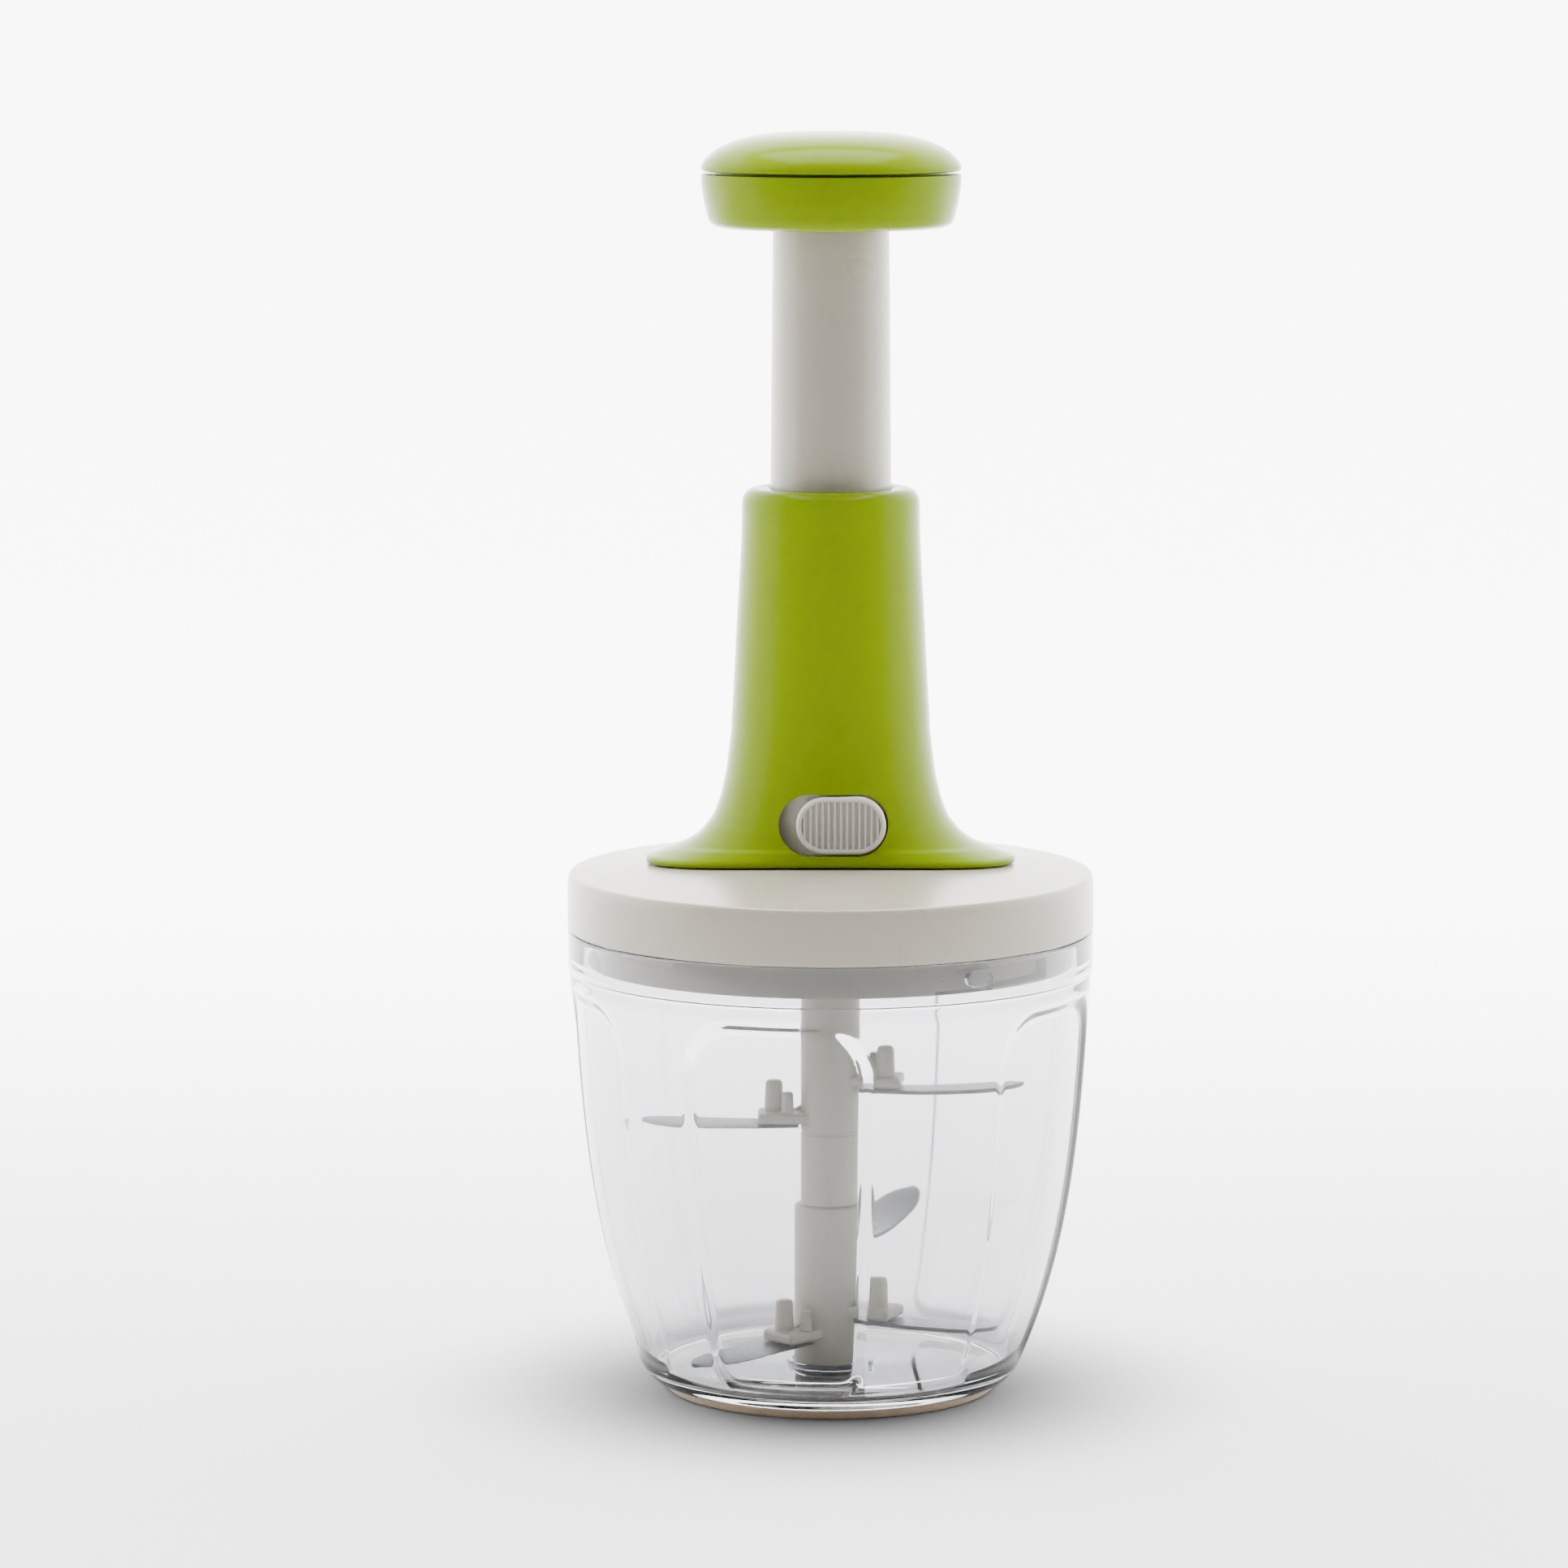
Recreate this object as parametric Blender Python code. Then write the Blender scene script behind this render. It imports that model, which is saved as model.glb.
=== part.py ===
"""Hand-press vegetable chopper: clear bowl, twist lid, press handle with a spiral rod, and five blades.

Sizes below are in millimetres. Meshes are written in metres, +Z up, with the origin on the
surface that the chopper stands on, under the middle of the bowl.
"""

import math

import bmesh
import bpy
from mathutils import Matrix, Vector

MM = 0.001
GAP = 0.3            # clearance between pieces that touch or are pressed together
SLIDE_GAP = 0.4      # clearance between pieces that slide or turn
FINE, MEDIUM, SMALL = 48, 36, 16   # facets round large, middle and small turned pieces

# Bowl
BOWL_RADIUS = 65.0
BOWL_WALL = 2.4
BASE_RING_HEIGHT = 2.6
BASE_RING_WIDTH = 8.5
BASE_RING_INSET = 3.4   # in from the foot of the bowl's side
BOWL_BOTTOM = BASE_RING_HEIGHT + GAP
BOWL_HEIGHT = 112.2
BOWL_RIM = BOWL_BOTTOM + BOWL_HEIGHT
RIM_BAND = 10.0      # upright band below the rim
BOWL_TAPER = 6.0     # how much the side leans in from rim to foot
BOWL_BELLY = 12.9    # how much more the foot rounds in
RIM_STEP = 0.4       # the rim band stands this proud of the side
BOWL_FLOOR = 2.2
FLUTE_CENTRES = [math.radians(turn) for turn in (-164, -102.8, -29, 42, 114)]
FLUTE_DEPTH = 0.9
FLUTE_SPAN = math.radians(41)
FLUTE_LOW_SHARE = 0.127    # of the side's height
FLUTE_HIGH_SHARE = 0.881
PIN_RADIUS = 3.0
PIN_HEIGHT = 13.5
LOCATING_RING_HEIGHT = 1.5
LOCATING_RING_WALL = 1.4

# Bayonet between bowl and lid
LUGS = 3
LUG_ANGLE = math.radians(-55.9)
LUG_LENGTH = 7.2
LUG_HEIGHT = 4.0
LUG_REACH = 2.4
LUG_DROP = 6.7       # from the rim to the bottom of the lug
ENTRY_SPAN = math.radians(14.7)
LOCK_SPAN = math.radians(18.0)

# Lid
LID_HEIGHT = 11.2    # upright outer wall
LID_EDGE_FILLET = 2.6
LID_SLOPE = 0.105
LID_PLATE = 2.6
LID_FLAT_RADIUS = 25.0
SKIRT_DEPTH = 8.2
SKIRT_WALL = 2.8
GASKET_HEIGHT = 2.3
NECK_BORE = 10.8
NECK_WALL = 2.4
NECK_LENGTH = 18.0

# Press handle
HOUSING_WALL = 2.2
HOUSING_TOE = 16.1         # the foot reaches this far beyond its screws
HOUSING_MARGIN = 7.1       # from the plunger tube to the top edge of the housing
HOUSING_WAIST_BULGE = 1.7  # front and back, beyond the top radius
HOUSING_FOOT_BULGE = 2.3   # front and back, beyond the waist
HOUSING_WAIST_DROP = 44.5
TUBE_LOW_RADIUS = 14.9
TUBE_DRAFT = 0.65          # the tube narrows this much towards the knob
TUBE_WALL = 1.8
STROKE = 60.0
STROKE_SPARE = 3.0
PRESSED_CLEARANCE = 4.5    # from the lid to the foot of the pressed tube
TUBE_HIDDEN = 26.5   # length of plunger tube inside the housing at rest
KNOB_RADIUS = 31.8
KNOB_BASE_HEIGHT = 13.6
KNOB_DOME_HEIGHT = 9.6
KNOB_SEAM = 0.6
KNOB_SHELL = 2.4
TUBE_SOCKET = 6.2
SEAT_RECESS = 2.6
SEAT_THICK = 5.4
SCREW_SPACING = 7.5  # from the plate screws out to the housing screws

# Spiral drive
LEAD = 40.0
STRIP_WIDTH = 6.0
STRIP_THICK = 2.0
NUT_HEIGHT = 7.2
JOURNAL_RADIUS = 3.6
FLANGE_THICK = 2.2
PLATE_THICK = 2.5     # bearing plate
DRIVER_HEIGHT = 6.0
CLUTCH_MARGIN = 1.0   # from the bore of the neck to the clutch
FLANGE_INSET = 1.3
HUB_MARGIN = 3.0      # from the bore of the neck to the hub
HUB_DROP = 8.0        # the hub reaches this far below the neck
BUSH_DEPTH = 2.6
CLUTCH_TEETH = 6
TOOTH_HEIGHT = 1.6
SPRING_INSET = 4.6   # from the bore of the tube to the middle of the wire
SPRING_WIRE = 0.6
SPRING_TURNS = 8.5
CUP_HEIGHT = 3.0
SLEEVE_WALL = 3.3
KEY_WIDTH = 4.0
KEY_REACH = 1.7
KEY_HEIGHT = 4.0
SCREW_SHANK = 1.2
SCREW_HEAD = 2.8
SCREW_HEAD_HEIGHT = 1.8
BOSS_RADIUS = 3.4

# Lock slider
SLOT_WIDTH = 26.7
SLOT_HEIGHT = 15.1
SLOT_CENTRE_X = 0.55
SLOT_LIFT = 10.5     # centre of the slot above the top of the lid plate
BUTTON_PROUD = 0.9   # beyond the waist of the housing
BUTTON_SPARE = 0.6   # left over in the slot beyond the travel
BUTTON_THICK = 3.0
LOCK_TRAVEL = 4.2
TRACK_MARGIN = 1.1   # from the sleeve to the track
TRACK_THICK = 1.4
TONGUE_HEIGHT = 5.0
TONGUE_LIFT = 6.0    # from the foot of the pressed tube
RIBS = 13
RIB_HEIGHT = 0.5

# Blades: height as a share of the shaft's, direction in degrees, gap to the bowl, rise of the tip
UPPER_BLADES = ((0.696, -8.0, 11.7, 2.6), (0.6, 180.0, 12.3, 0.6))
LOWER_BLADES = ((0.288, 66.0, 8.1, 7.0), (0.116, -25.0, 3.1, 1.5), (0.061, 222.0, 5.5, -1.6))
BLADE_THICK = 1.0
BLADE_WIDTH = 12.5
ARM_THICK = 2.6
ARM_WIDTH = 10.5
ARM_LENGTH = 9.1
PEG_RADIUS = 2.3
PEG_HEIGHT = 7.6
SHORT_PEG_RADIUS = 1.5
SHORT_PEG_DROP = 2.4
SHAFT_STEP = 1.55          # the lower shaft is this much thicker
SHAFT_JOINT_SHARE = 0.346  # where the two shafts meet
SHAFT_TENON = 5.0
TENON_LENGTH = 10.0
HUB_SOCKET_DEPTH = 13.0
HUB_WALL = 2.9
SHAFT_INSET = 0.45         # the upper shaft is this much slimmer than the hub

# Heights and radii that follow from the sizes above
LID_BOTTOM = BOWL_RIM + GAP
LID_SHOULDER = LID_BOTTOM + LID_HEIGHT
LID_EDGE_TOP = LID_SHOULDER + LID_EDGE_FILLET
LID_EDGE_RADIUS = BOWL_RADIUS - 2.0
LID_TOP = LID_EDGE_TOP + LID_SLOPE * (LID_EDGE_RADIUS - LID_FLAT_RADIUS)
RIM_INNER = BOWL_RADIUS - BOWL_WALL
BOWL_SIDE = BOWL_HEIGHT - RIM_BAND
BASE_RING_RADIUS = BOWL_RADIUS - RIM_STEP - BOWL_TAPER - BOWL_BELLY - BASE_RING_INSET
FLOOR_TOP = BOWL_BOTTOM + BOWL_FLOOR
SHAFT_FOOT = FLOOR_TOP + SLIDE_GAP
SKIRT_RADIUS = RIM_INNER - 1.2
SKIRT_BOTTOM = LID_BOTTOM - SKIRT_DEPTH
GROOVE_FLOOR = RIM_INNER - LUG_REACH - GAP
LUG_BOTTOM = BOWL_RIM - LUG_DROP
LUG_TOP = LUG_BOTTOM + LUG_HEIGHT
LUG_HALF_ANGLE = LUG_LENGTH / 2 / SKIRT_RADIUS
NECK_BOTTOM = LID_TOP - LID_PLATE - NECK_LENGTH
PLATE_BOTTOM = LID_TOP + GAP
PLATE_TOP = PLATE_BOTTOM + PLATE_THICK
CLUTCH_RADIUS = NECK_BORE - CLUTCH_MARGIN
FLANGE_RADIUS = CLUTCH_RADIUS - FLANGE_INSET
HUB_RADIUS = NECK_BORE - HUB_MARGIN
HUB_SOCKET_RADIUS = HUB_RADIUS - HUB_WALL
SHAFT_UPPER_RADIUS = HUB_RADIUS - SHAFT_INSET
SHAFT_LOWER_RADIUS = SHAFT_UPPER_RADIUS + SHAFT_STEP
ARM_REACH = SHAFT_LOWER_RADIUS + ARM_LENGTH
LOCATING_RING_INNER = SHAFT_LOWER_RADIUS + 0.5
SLEEVE_BOTTOM = PLATE_TOP + GAP
SLEEVE_FLANGE = 1.5
HOUSING_TOP = LID_TOP + PRESSED_CLEARANCE + STROKE + TUBE_HIDDEN
HOUSING_TOP_RADIUS = TUBE_LOW_RADIUS + HOUSING_MARGIN
HOUSING_WAIST_Y = HOUSING_TOP_RADIUS + HOUSING_WAIST_BULGE
HOUSING_FOOT_Y = HOUSING_WAIST_Y + HOUSING_FOOT_BULGE
TUBE_TOP_RADIUS = TUBE_LOW_RADIUS - TUBE_DRAFT
SPRING_RADIUS = TUBE_LOW_RADIUS - TUBE_WALL - SPRING_INSET
TUBE_BOTTOM = HOUSING_TOP - TUBE_HIDDEN
KNOB_BOTTOM = HOUSING_TOP + STROKE + STROKE_SPARE
KNOB_SPLIT = KNOB_BOTTOM + KNOB_BASE_HEIGHT
TUBE_TOP = KNOB_BOTTOM + TUBE_SOCKET
SEAT_TOP = KNOB_BOTTOM + SEAT_RECESS
SEAT_BOTTOM = SEAT_TOP - SEAT_THICK
SLEEVE_BORE = TUBE_LOW_RADIUS + SLIDE_GAP
SLEEVE_RADIUS = SLEEVE_BORE + SLEEVE_WALL
PLATE_RADIUS = SLEEVE_RADIUS + GAP
SLEEVE_TOP = HOUSING_TOP - HOUSING_WALL - 1.0
ROD_TOP = TUBE_BOTTOM + NUT_HEIGHT + 1.7
CUP_BOTTOM = ROD_TOP + GAP
SPRING_BOTTOM = CUP_BOTTOM + CUP_HEIGHT + GAP
SPRING_TOP = SEAT_BOTTOM - GAP
FLANGE_TOP = PLATE_BOTTOM - GAP
FLANGE_BOTTOM = FLANGE_TOP - FLANGE_THICK
DRIVER_TOP = FLANGE_BOTTOM - GAP
DRIVER_BOTTOM = DRIVER_TOP - DRIVER_HEIGHT
HUB_TOP = DRIVER_BOTTOM - SLIDE_GAP
HUB_BOTTOM = NECK_BOTTOM - HUB_DROP
SHAFT_JOINT = SHAFT_FOOT + SHAFT_JOINT_SHARE * (HUB_BOTTOM - SHAFT_FOOT)
BUSH_TOP = NECK_BOTTOM + BUSH_DEPTH
SOCKET_TOP = HUB_BOTTOM + HUB_SOCKET_DEPTH
SCREW_X = SLEEVE_RADIUS + SCREW_HEAD + 0.6
HOUSING_SCREW_X = SCREW_X + SCREW_SPACING
HOUSING_FOOT_X = HOUSING_SCREW_X + HOUSING_TOE
SLOT_Z = LID_TOP + SLOT_LIFT
BUTTON_WIDTH = SLOT_WIDTH - LOCK_TRAVEL - BUTTON_SPARE
BUTTON_X = SLOT_CENTRE_X + (SLOT_WIDTH - BUTTON_WIDTH) / 2 - BUTTON_SPARE
BUTTON_FRONT = HOUSING_WAIST_Y + BUTTON_PROUD
TONGUE_LEFT, TONGUE_RIGHT = BUTTON_X - 4.3, BUTTON_X + 2.7
TONGUE_TIP = TUBE_LOW_RADIUS - TUBE_WALL + 0.4
PRESSED_BOTTOM = TUBE_BOTTOM - STROKE
TONGUE_LOW = PRESSED_BOTTOM + TONGUE_LIFT
TONGUE_HIGH = TONGUE_LOW + TONGUE_HEIGHT
TRACK_INNER = SLEEVE_RADIUS + TRACK_MARGIN
TRACK_OUTER = TRACK_INNER + TRACK_THICK

COLOURS = {
    "green": ((0.47, 0.60, 0.01), 0.25, 0.0),
    "white": ((0.78, 0.76, 0.70), 0.35, 0.0),
    "clear": ((0.86, 0.87, 0.93), 0.06, 0.0),
    "ivory": ((0.74, 0.71, 0.60), 0.40, 0.0),
    "beige": ((0.80, 0.71, 0.58), 0.75, 0.0),
    "silicone": ((0.82, 0.82, 0.80), 0.65, 0.0),
    "steel": ((0.60, 0.60, 0.61), 0.28, 1.0),
    "nylon": ((0.55, 0.55, 0.52), 0.50, 0.0),
}


# ---------------------------------------------------------------- helpers

def clear_scene():
    for old in list(bpy.data.objects):
        bpy.data.objects.remove(old)


def material(name):
    found = bpy.data.materials.get(name)
    if found:
        return found
    colour, roughness, metallic = COLOURS[name]
    made = bpy.data.materials.new(name)
    made.use_nodes = True
    shader = made.node_tree.nodes["Principled BSDF"]
    shader.inputs["Base Color"].default_value = (*colour, 1.0)
    shader.inputs["Roughness"].default_value = roughness
    shader.inputs["Metallic"].default_value = metallic
    return made


def finish(name, bm, colour, crease=35):
    """Turn a bmesh in millimetres into a shaded object in metres."""
    bmesh.ops.recalc_face_normals(bm, faces=bm.faces)
    bmesh.ops.scale(bm, vec=(MM, MM, MM), verts=bm.verts)
    mesh = bpy.data.meshes.new(name)
    bm.to_mesh(mesh)
    bm.free()
    mesh.shade_smooth()
    mesh.set_sharp_from_angle(angle=math.radians(crease))
    mesh.materials.append(material(colour))
    obj = bpy.data.objects.new(name, mesh)
    bpy.context.scene.collection.objects.link(obj)
    return obj


def round_place(point, angle):
    radius, z = point
    return radius * math.cos(angle), radius * math.sin(angle), z


def turned(outline, segments=MEDIUM, place=round_place):
    """A closed outline turned about Z. An outline point with radius 0 becomes one vertex."""
    bm = bmesh.new()
    rings = []
    for point in outline:
        if point[0] == 0:
            rings.append([bm.verts.new(place(point, 0.0))] * segments)
            continue
        angles = [2 * math.pi * step / segments for step in range(segments)]
        rings.append([bm.verts.new(place(point, angle)) for angle in angles])
    for low, high in zip(rings, rings[1:] + rings[:1]):
        for step in range(segments):
            after = (step + 1) % segments
            corners = [low[step], low[after], high[after], high[step]]
            unique = list(dict.fromkeys(corners))
            if len(unique) > 2:
                bm.faces.new(unique)
    return bm


def block(low, high):
    """A box between two corners."""
    bm = bmesh.new()
    bmesh.ops.create_cube(bm, size=1.0)
    size = Vector(high) - Vector(low)
    bmesh.ops.scale(bm, vec=size, verts=bm.verts)
    bmesh.ops.translate(bm, vec=(Vector(high) + Vector(low)) / 2, verts=bm.verts)
    return bm


def rod(radius, low, high, x=0.0, y=0.0, segments=SMALL):
    """An upright cylinder."""
    bm = turned([(0, low), (radius, low), (radius, high), (0, high)], segments)
    bmesh.ops.translate(bm, vec=(x, y, 0), verts=bm.verts)
    return bm


def rods(radius, low, high, places, segments=12):
    """Upright cylinders on both sides of the axis, as one helper shape."""
    bm = bmesh.new()
    for x in [side * place for place in places for side in (-1, 1)]:
        piece = rod(radius, low, high, x, 0, segments)
        made = bpy.data.meshes.new("rod")
        piece.to_mesh(made)
        piece.free()
        bm.from_mesh(made)
        bpy.data.meshes.remove(made)
    return bm


def spread(start, end, low, steps):
    """(angle, low height) pairs spread evenly over an arc."""
    return [(start + (end - start) * step / steps, low) for step in range(steps + 1)]


def sector(bm, inner, outer, floor, high):
    """One closed piece of a ring, added to bm. floor lists (angle, low height) pairs along it."""
    rings = []
    for angle, low in floor:
        corners = ((inner, low), (outer, low), (outer, high), (inner, high))
        rings.append([bm.verts.new(round_place(corner, angle)) for corner in corners])
    for before, after in zip(rings, rings[1:]):
        for side in range(4):
            other = (side + 1) % 4
            bm.faces.new((before[side], before[other], after[other], after[side]))
    bm.faces.new(rings[0])
    bm.faces.new(rings[-1])
    return bm


def extruded(outline, low, high):
    """A flat outline of (x, y) points given a thickness along Z."""
    bm = bmesh.new()
    bottom = [bm.verts.new((x, y, low)) for x, y in outline]
    top = [bm.verts.new((x, y, high)) for x, y in outline]
    bm.faces.new(bottom)
    bm.faces.new(top)
    count = len(outline)
    for step in range(count):
        after = (step + 1) % count
        bm.faces.new((bottom[step], bottom[after], top[after], top[step]))
    return bm


def stadium(width, height, steps=10):
    """Points of a slot outline with round ends, centred on the origin."""
    radius = height / 2
    straight = width / 2 - radius
    points = []
    for side, turn in ((1, -math.pi / 2), (-1, math.pi / 2)):
        for step in range(steps + 1):
            angle = turn + math.pi * step / steps
            points.append((side * straight + radius * math.cos(angle), radius * math.sin(angle)))
    return points


def facing_front(bm, x, y, z):
    """Stand a flat piece upright, its thickness along -Y, and move its origin to a point."""
    bmesh.ops.rotate(bm, matrix=Matrix.Rotation(math.pi / 2, 3, "X"), verts=bm.verts)
    bmesh.ops.translate(bm, vec=(x, y, z), verts=bm.verts)
    return bm


def combine(target, bm, operation, name):
    """Join a helper shape to target, or cut it away. The helper isn't a piece of the chopper."""
    helper = finish(name, bm, "nylon")
    helper.hide_render = True
    helper.display_type = "WIRE"
    change = target.modifiers.new(name, "BOOLEAN")
    change.operation = operation
    change.solver = "EXACT"
    change.object = helper


def cut(target, bm, name):
    combine(target, bm, "DIFFERENCE", target.name + "_cut_" + name)


def join(target, bm, name):
    combine(target, bm, "UNION", target.name + "_add_" + name)


def lid_height(radius):
    """Height of the lid's top face, which is a shallow cone with a flat middle."""
    return LID_EDGE_TOP + LID_SLOPE * (LID_EDGE_RADIUS - max(radius, LID_FLAT_RADIUS))


# ---------------------------------------------------------------- bowl

def bowl_radius(z):
    """Outer radius of the bowl: a round-bottomed cup that ends in an upright rim band."""
    below = 1 - min(max((z - BOWL_BOTTOM) / BOWL_SIDE, 0.0), 1.0)
    return BOWL_RADIUS - RIM_STEP - BOWL_TAPER * below - BOWL_BELLY * below ** 3.3


def flute_share(z, angle):
    """1 inside a recessed panel of the side, 0 outside."""
    if not FLUTE_LOW_SHARE <= (z - BOWL_BOTTOM) / BOWL_SIDE + 0.0001 <= FLUTE_HIGH_SHARE + 0.0002:
        return 0.0
    offsets = [(angle - centre + math.pi) % (2 * math.pi) - math.pi for centre in FLUTE_CENTRES]
    return 1.0 if min(abs(offset) for offset in offsets) < FLUTE_SPAN / 2 else 0.0


def bowl_place(point, angle):
    radius, z, fluted = point
    if fluted:
        radius -= FLUTE_DEPTH * flute_share(z, angle)
    return round_place((radius, z), angle)


def make_bowl():
    base = BOWL_BOTTOM
    shares = (0.025, 0.07, FLUTE_LOW_SHARE - 0.02, FLUTE_LOW_SHARE, 0.22, 0.34, 0.5, 0.68,
              FLUTE_HIGH_SHARE, FLUTE_HIGH_SHARE + 0.02, 1.0)
    heights = [base + BOWL_SIDE * share for share in shares]
    outer = [(bowl_radius(z), z, True) for z in heights]
    ring_outer, ring_top = LOCATING_RING_INNER + LOCATING_RING_WALL, FLOOR_TOP + LOCATING_RING_HEIGHT
    pin_top = FLOOR_TOP + PIN_HEIGHT
    inner = [(bowl_radius(z) - BOWL_WALL, z, False) for z in heights[1:8] + heights[-1:]]
    outline = [(0, base, False), (BASE_RING_RADIUS, base, False)]
    outline += outer
    band_low = BOWL_RIM - RIM_BAND + RIM_STEP
    outline += [(BOWL_RADIUS, band_low, False), (BOWL_RADIUS, BOWL_RIM, False), (RIM_INNER, BOWL_RIM, False)]
    outline += inner[::-1]
    outline += [
        (BASE_RING_RADIUS - 1.0, FLOOR_TOP, False),
        (ring_outer, FLOOR_TOP, False),
        (ring_outer, ring_top, False),
        (LOCATING_RING_INNER, ring_top, False),
        (LOCATING_RING_INNER, FLOOR_TOP, False),
        (PIN_RADIUS, FLOOR_TOP, False),
        (PIN_RADIUS, pin_top - 1, False),
        (PIN_RADIUS - 1, pin_top, False),
        (0, pin_top, False),
    ]
    bowl = finish("bowl", turned(outline, FINE, bowl_place), "clear")
    lugs = bmesh.new()
    for count in range(LUGS):
        middle = LUG_ANGLE + 2 * math.pi * count / LUGS
        floor = spread(middle - LUG_HALF_ANGLE, middle + LUG_HALF_ANGLE, LUG_BOTTOM, 4)
        sector(lugs, RIM_INNER - LUG_REACH, RIM_INNER + 0.8, floor, LUG_TOP)
    join(bowl, lugs, "lugs")


def make_base_ring():
    inner = BASE_RING_RADIUS - BASE_RING_WIDTH
    outline = [(inner, 0), (BASE_RING_RADIUS - 1.3, 0), (BASE_RING_RADIUS, BASE_RING_HEIGHT),
               (inner, BASE_RING_HEIGHT)]
    finish("anti_slip_ring", turned(outline, FINE), "beige")


# ---------------------------------------------------------------- lid

def make_gasket():
    inner, outer = SKIRT_RADIUS + GAP, RIM_INNER + 0.4
    low = BOWL_RIM + GAP
    outline = [(inner, low), (outer, low), (outer, low + GASKET_HEIGHT), (inner, low + GASKET_HEIGHT)]
    finish("lid_gasket", turned(outline, FINE), "silicone")


def make_lid():
    channel_top = LID_BOTTOM + GASKET_HEIGHT + GAP
    wall_inner = RIM_INNER + 0.4 + GAP
    under = LID_TOP - LID_PLATE
    skirt_inner = SKIRT_RADIUS - SKIRT_WALL
    outline = [
        (skirt_inner, SKIRT_BOTTOM),
        (SKIRT_RADIUS - 0.4, SKIRT_BOTTOM),
        (SKIRT_RADIUS, SKIRT_BOTTOM + 0.5),
        (SKIRT_RADIUS, channel_top),
        (wall_inner, channel_top),
        (wall_inner, LID_BOTTOM),
        (BOWL_RADIUS, LID_BOTTOM),
        (BOWL_RADIUS, LID_SHOULDER),
        (BOWL_RADIUS - 0.35, LID_SHOULDER + 1.2),
        (BOWL_RADIUS - 1.0, LID_SHOULDER + 2.1),
        (LID_EDGE_RADIUS, LID_EDGE_TOP),
        (LID_FLAT_RADIUS, LID_TOP),
        (NECK_BORE, LID_TOP),
        (NECK_BORE, NECK_BOTTOM),
        (NECK_BORE + NECK_WALL, NECK_BOTTOM),
        (NECK_BORE + NECK_WALL, under),
        (LID_FLAT_RADIUS, under),
        (skirt_inner, LID_EDGE_TOP - LID_PLATE + 0.3),
    ]
    lid = finish("lid", turned(outline, FINE), "white")
    grooves = bmesh.new()
    clearance = 0.5 / SKIRT_RADIUS
    for count in range(LUGS):
        middle = LUG_ANGLE + 2 * math.pi * count / LUGS
        entry_end = middle + LUG_HALF_ANGLE + clearance
        floor = spread(entry_end - ENTRY_SPAN, entry_end, SKIRT_BOTTOM - 1, 5)
        floor += spread(entry_end + 0.1 * clearance, entry_end + LOCK_SPAN, LUG_BOTTOM - GAP, 6)
        sector(grooves, GROOVE_FLOOR, SKIRT_RADIUS + 1, floor, LUG_TOP + 0.5)
    cut(lid, grooves, "bayonet_grooves")
    cut(lid, rods(SCREW_SHANK + GAP, under - 3, LID_TOP + 3, (HOUSING_SCREW_X, SCREW_X)), "screw_holes")


# ---------------------------------------------------------------- press housing

def housing_y(x_radius, z):
    """Front-to-back half width where the side half width is x_radius: round above the waist."""
    waist = HOUSING_TOP - HOUSING_WAIST_DROP
    if z >= waist:
        return min(x_radius, HOUSING_WAIST_Y)
    share = (waist - z) / (waist - LID_TOP)
    return min(x_radius, HOUSING_WAIST_Y + (HOUSING_FOOT_Y - HOUSING_WAIST_Y) * share ** 2)


def housing_outline():
    """(side half width, height) of the outer face from the foot up, as the sides sweep in."""
    flare = HOUSING_FOOT_X - HOUSING_TOP_RADIUS
    shares = (1.0, 0.965, 0.83, 0.685, 0.5, 0.36, 0.25, 0.18)
    lifts = (0.0, 0.6, 2.2, 3.3, 5.5, 8.8, 13.4, 20.0)
    low = LID_TOP - 0.9
    points = [(HOUSING_TOP_RADIUS + flare * share, low + lift) for share, lift in zip(shares, lifts)]
    waist = HOUSING_TOP - HOUSING_WAIST_DROP
    points += [(HOUSING_TOP_RADIUS + 2.6, waist - 16), (HOUSING_TOP_RADIUS + 1.75, waist)]
    points += [(HOUSING_TOP_RADIUS + 0.85, HOUSING_TOP - 28), (HOUSING_TOP_RADIUS, HOUSING_TOP - 12)]
    points += [(HOUSING_TOP_RADIUS - 0.2, HOUSING_TOP - 3.4)]
    return points


def housing_place(point, angle):
    x_radius, y_radius, z, above = point
    x, y = x_radius * math.cos(angle), y_radius * math.sin(angle)
    return x, y, max(z, lid_height(math.hypot(x, y)) + above)


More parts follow.
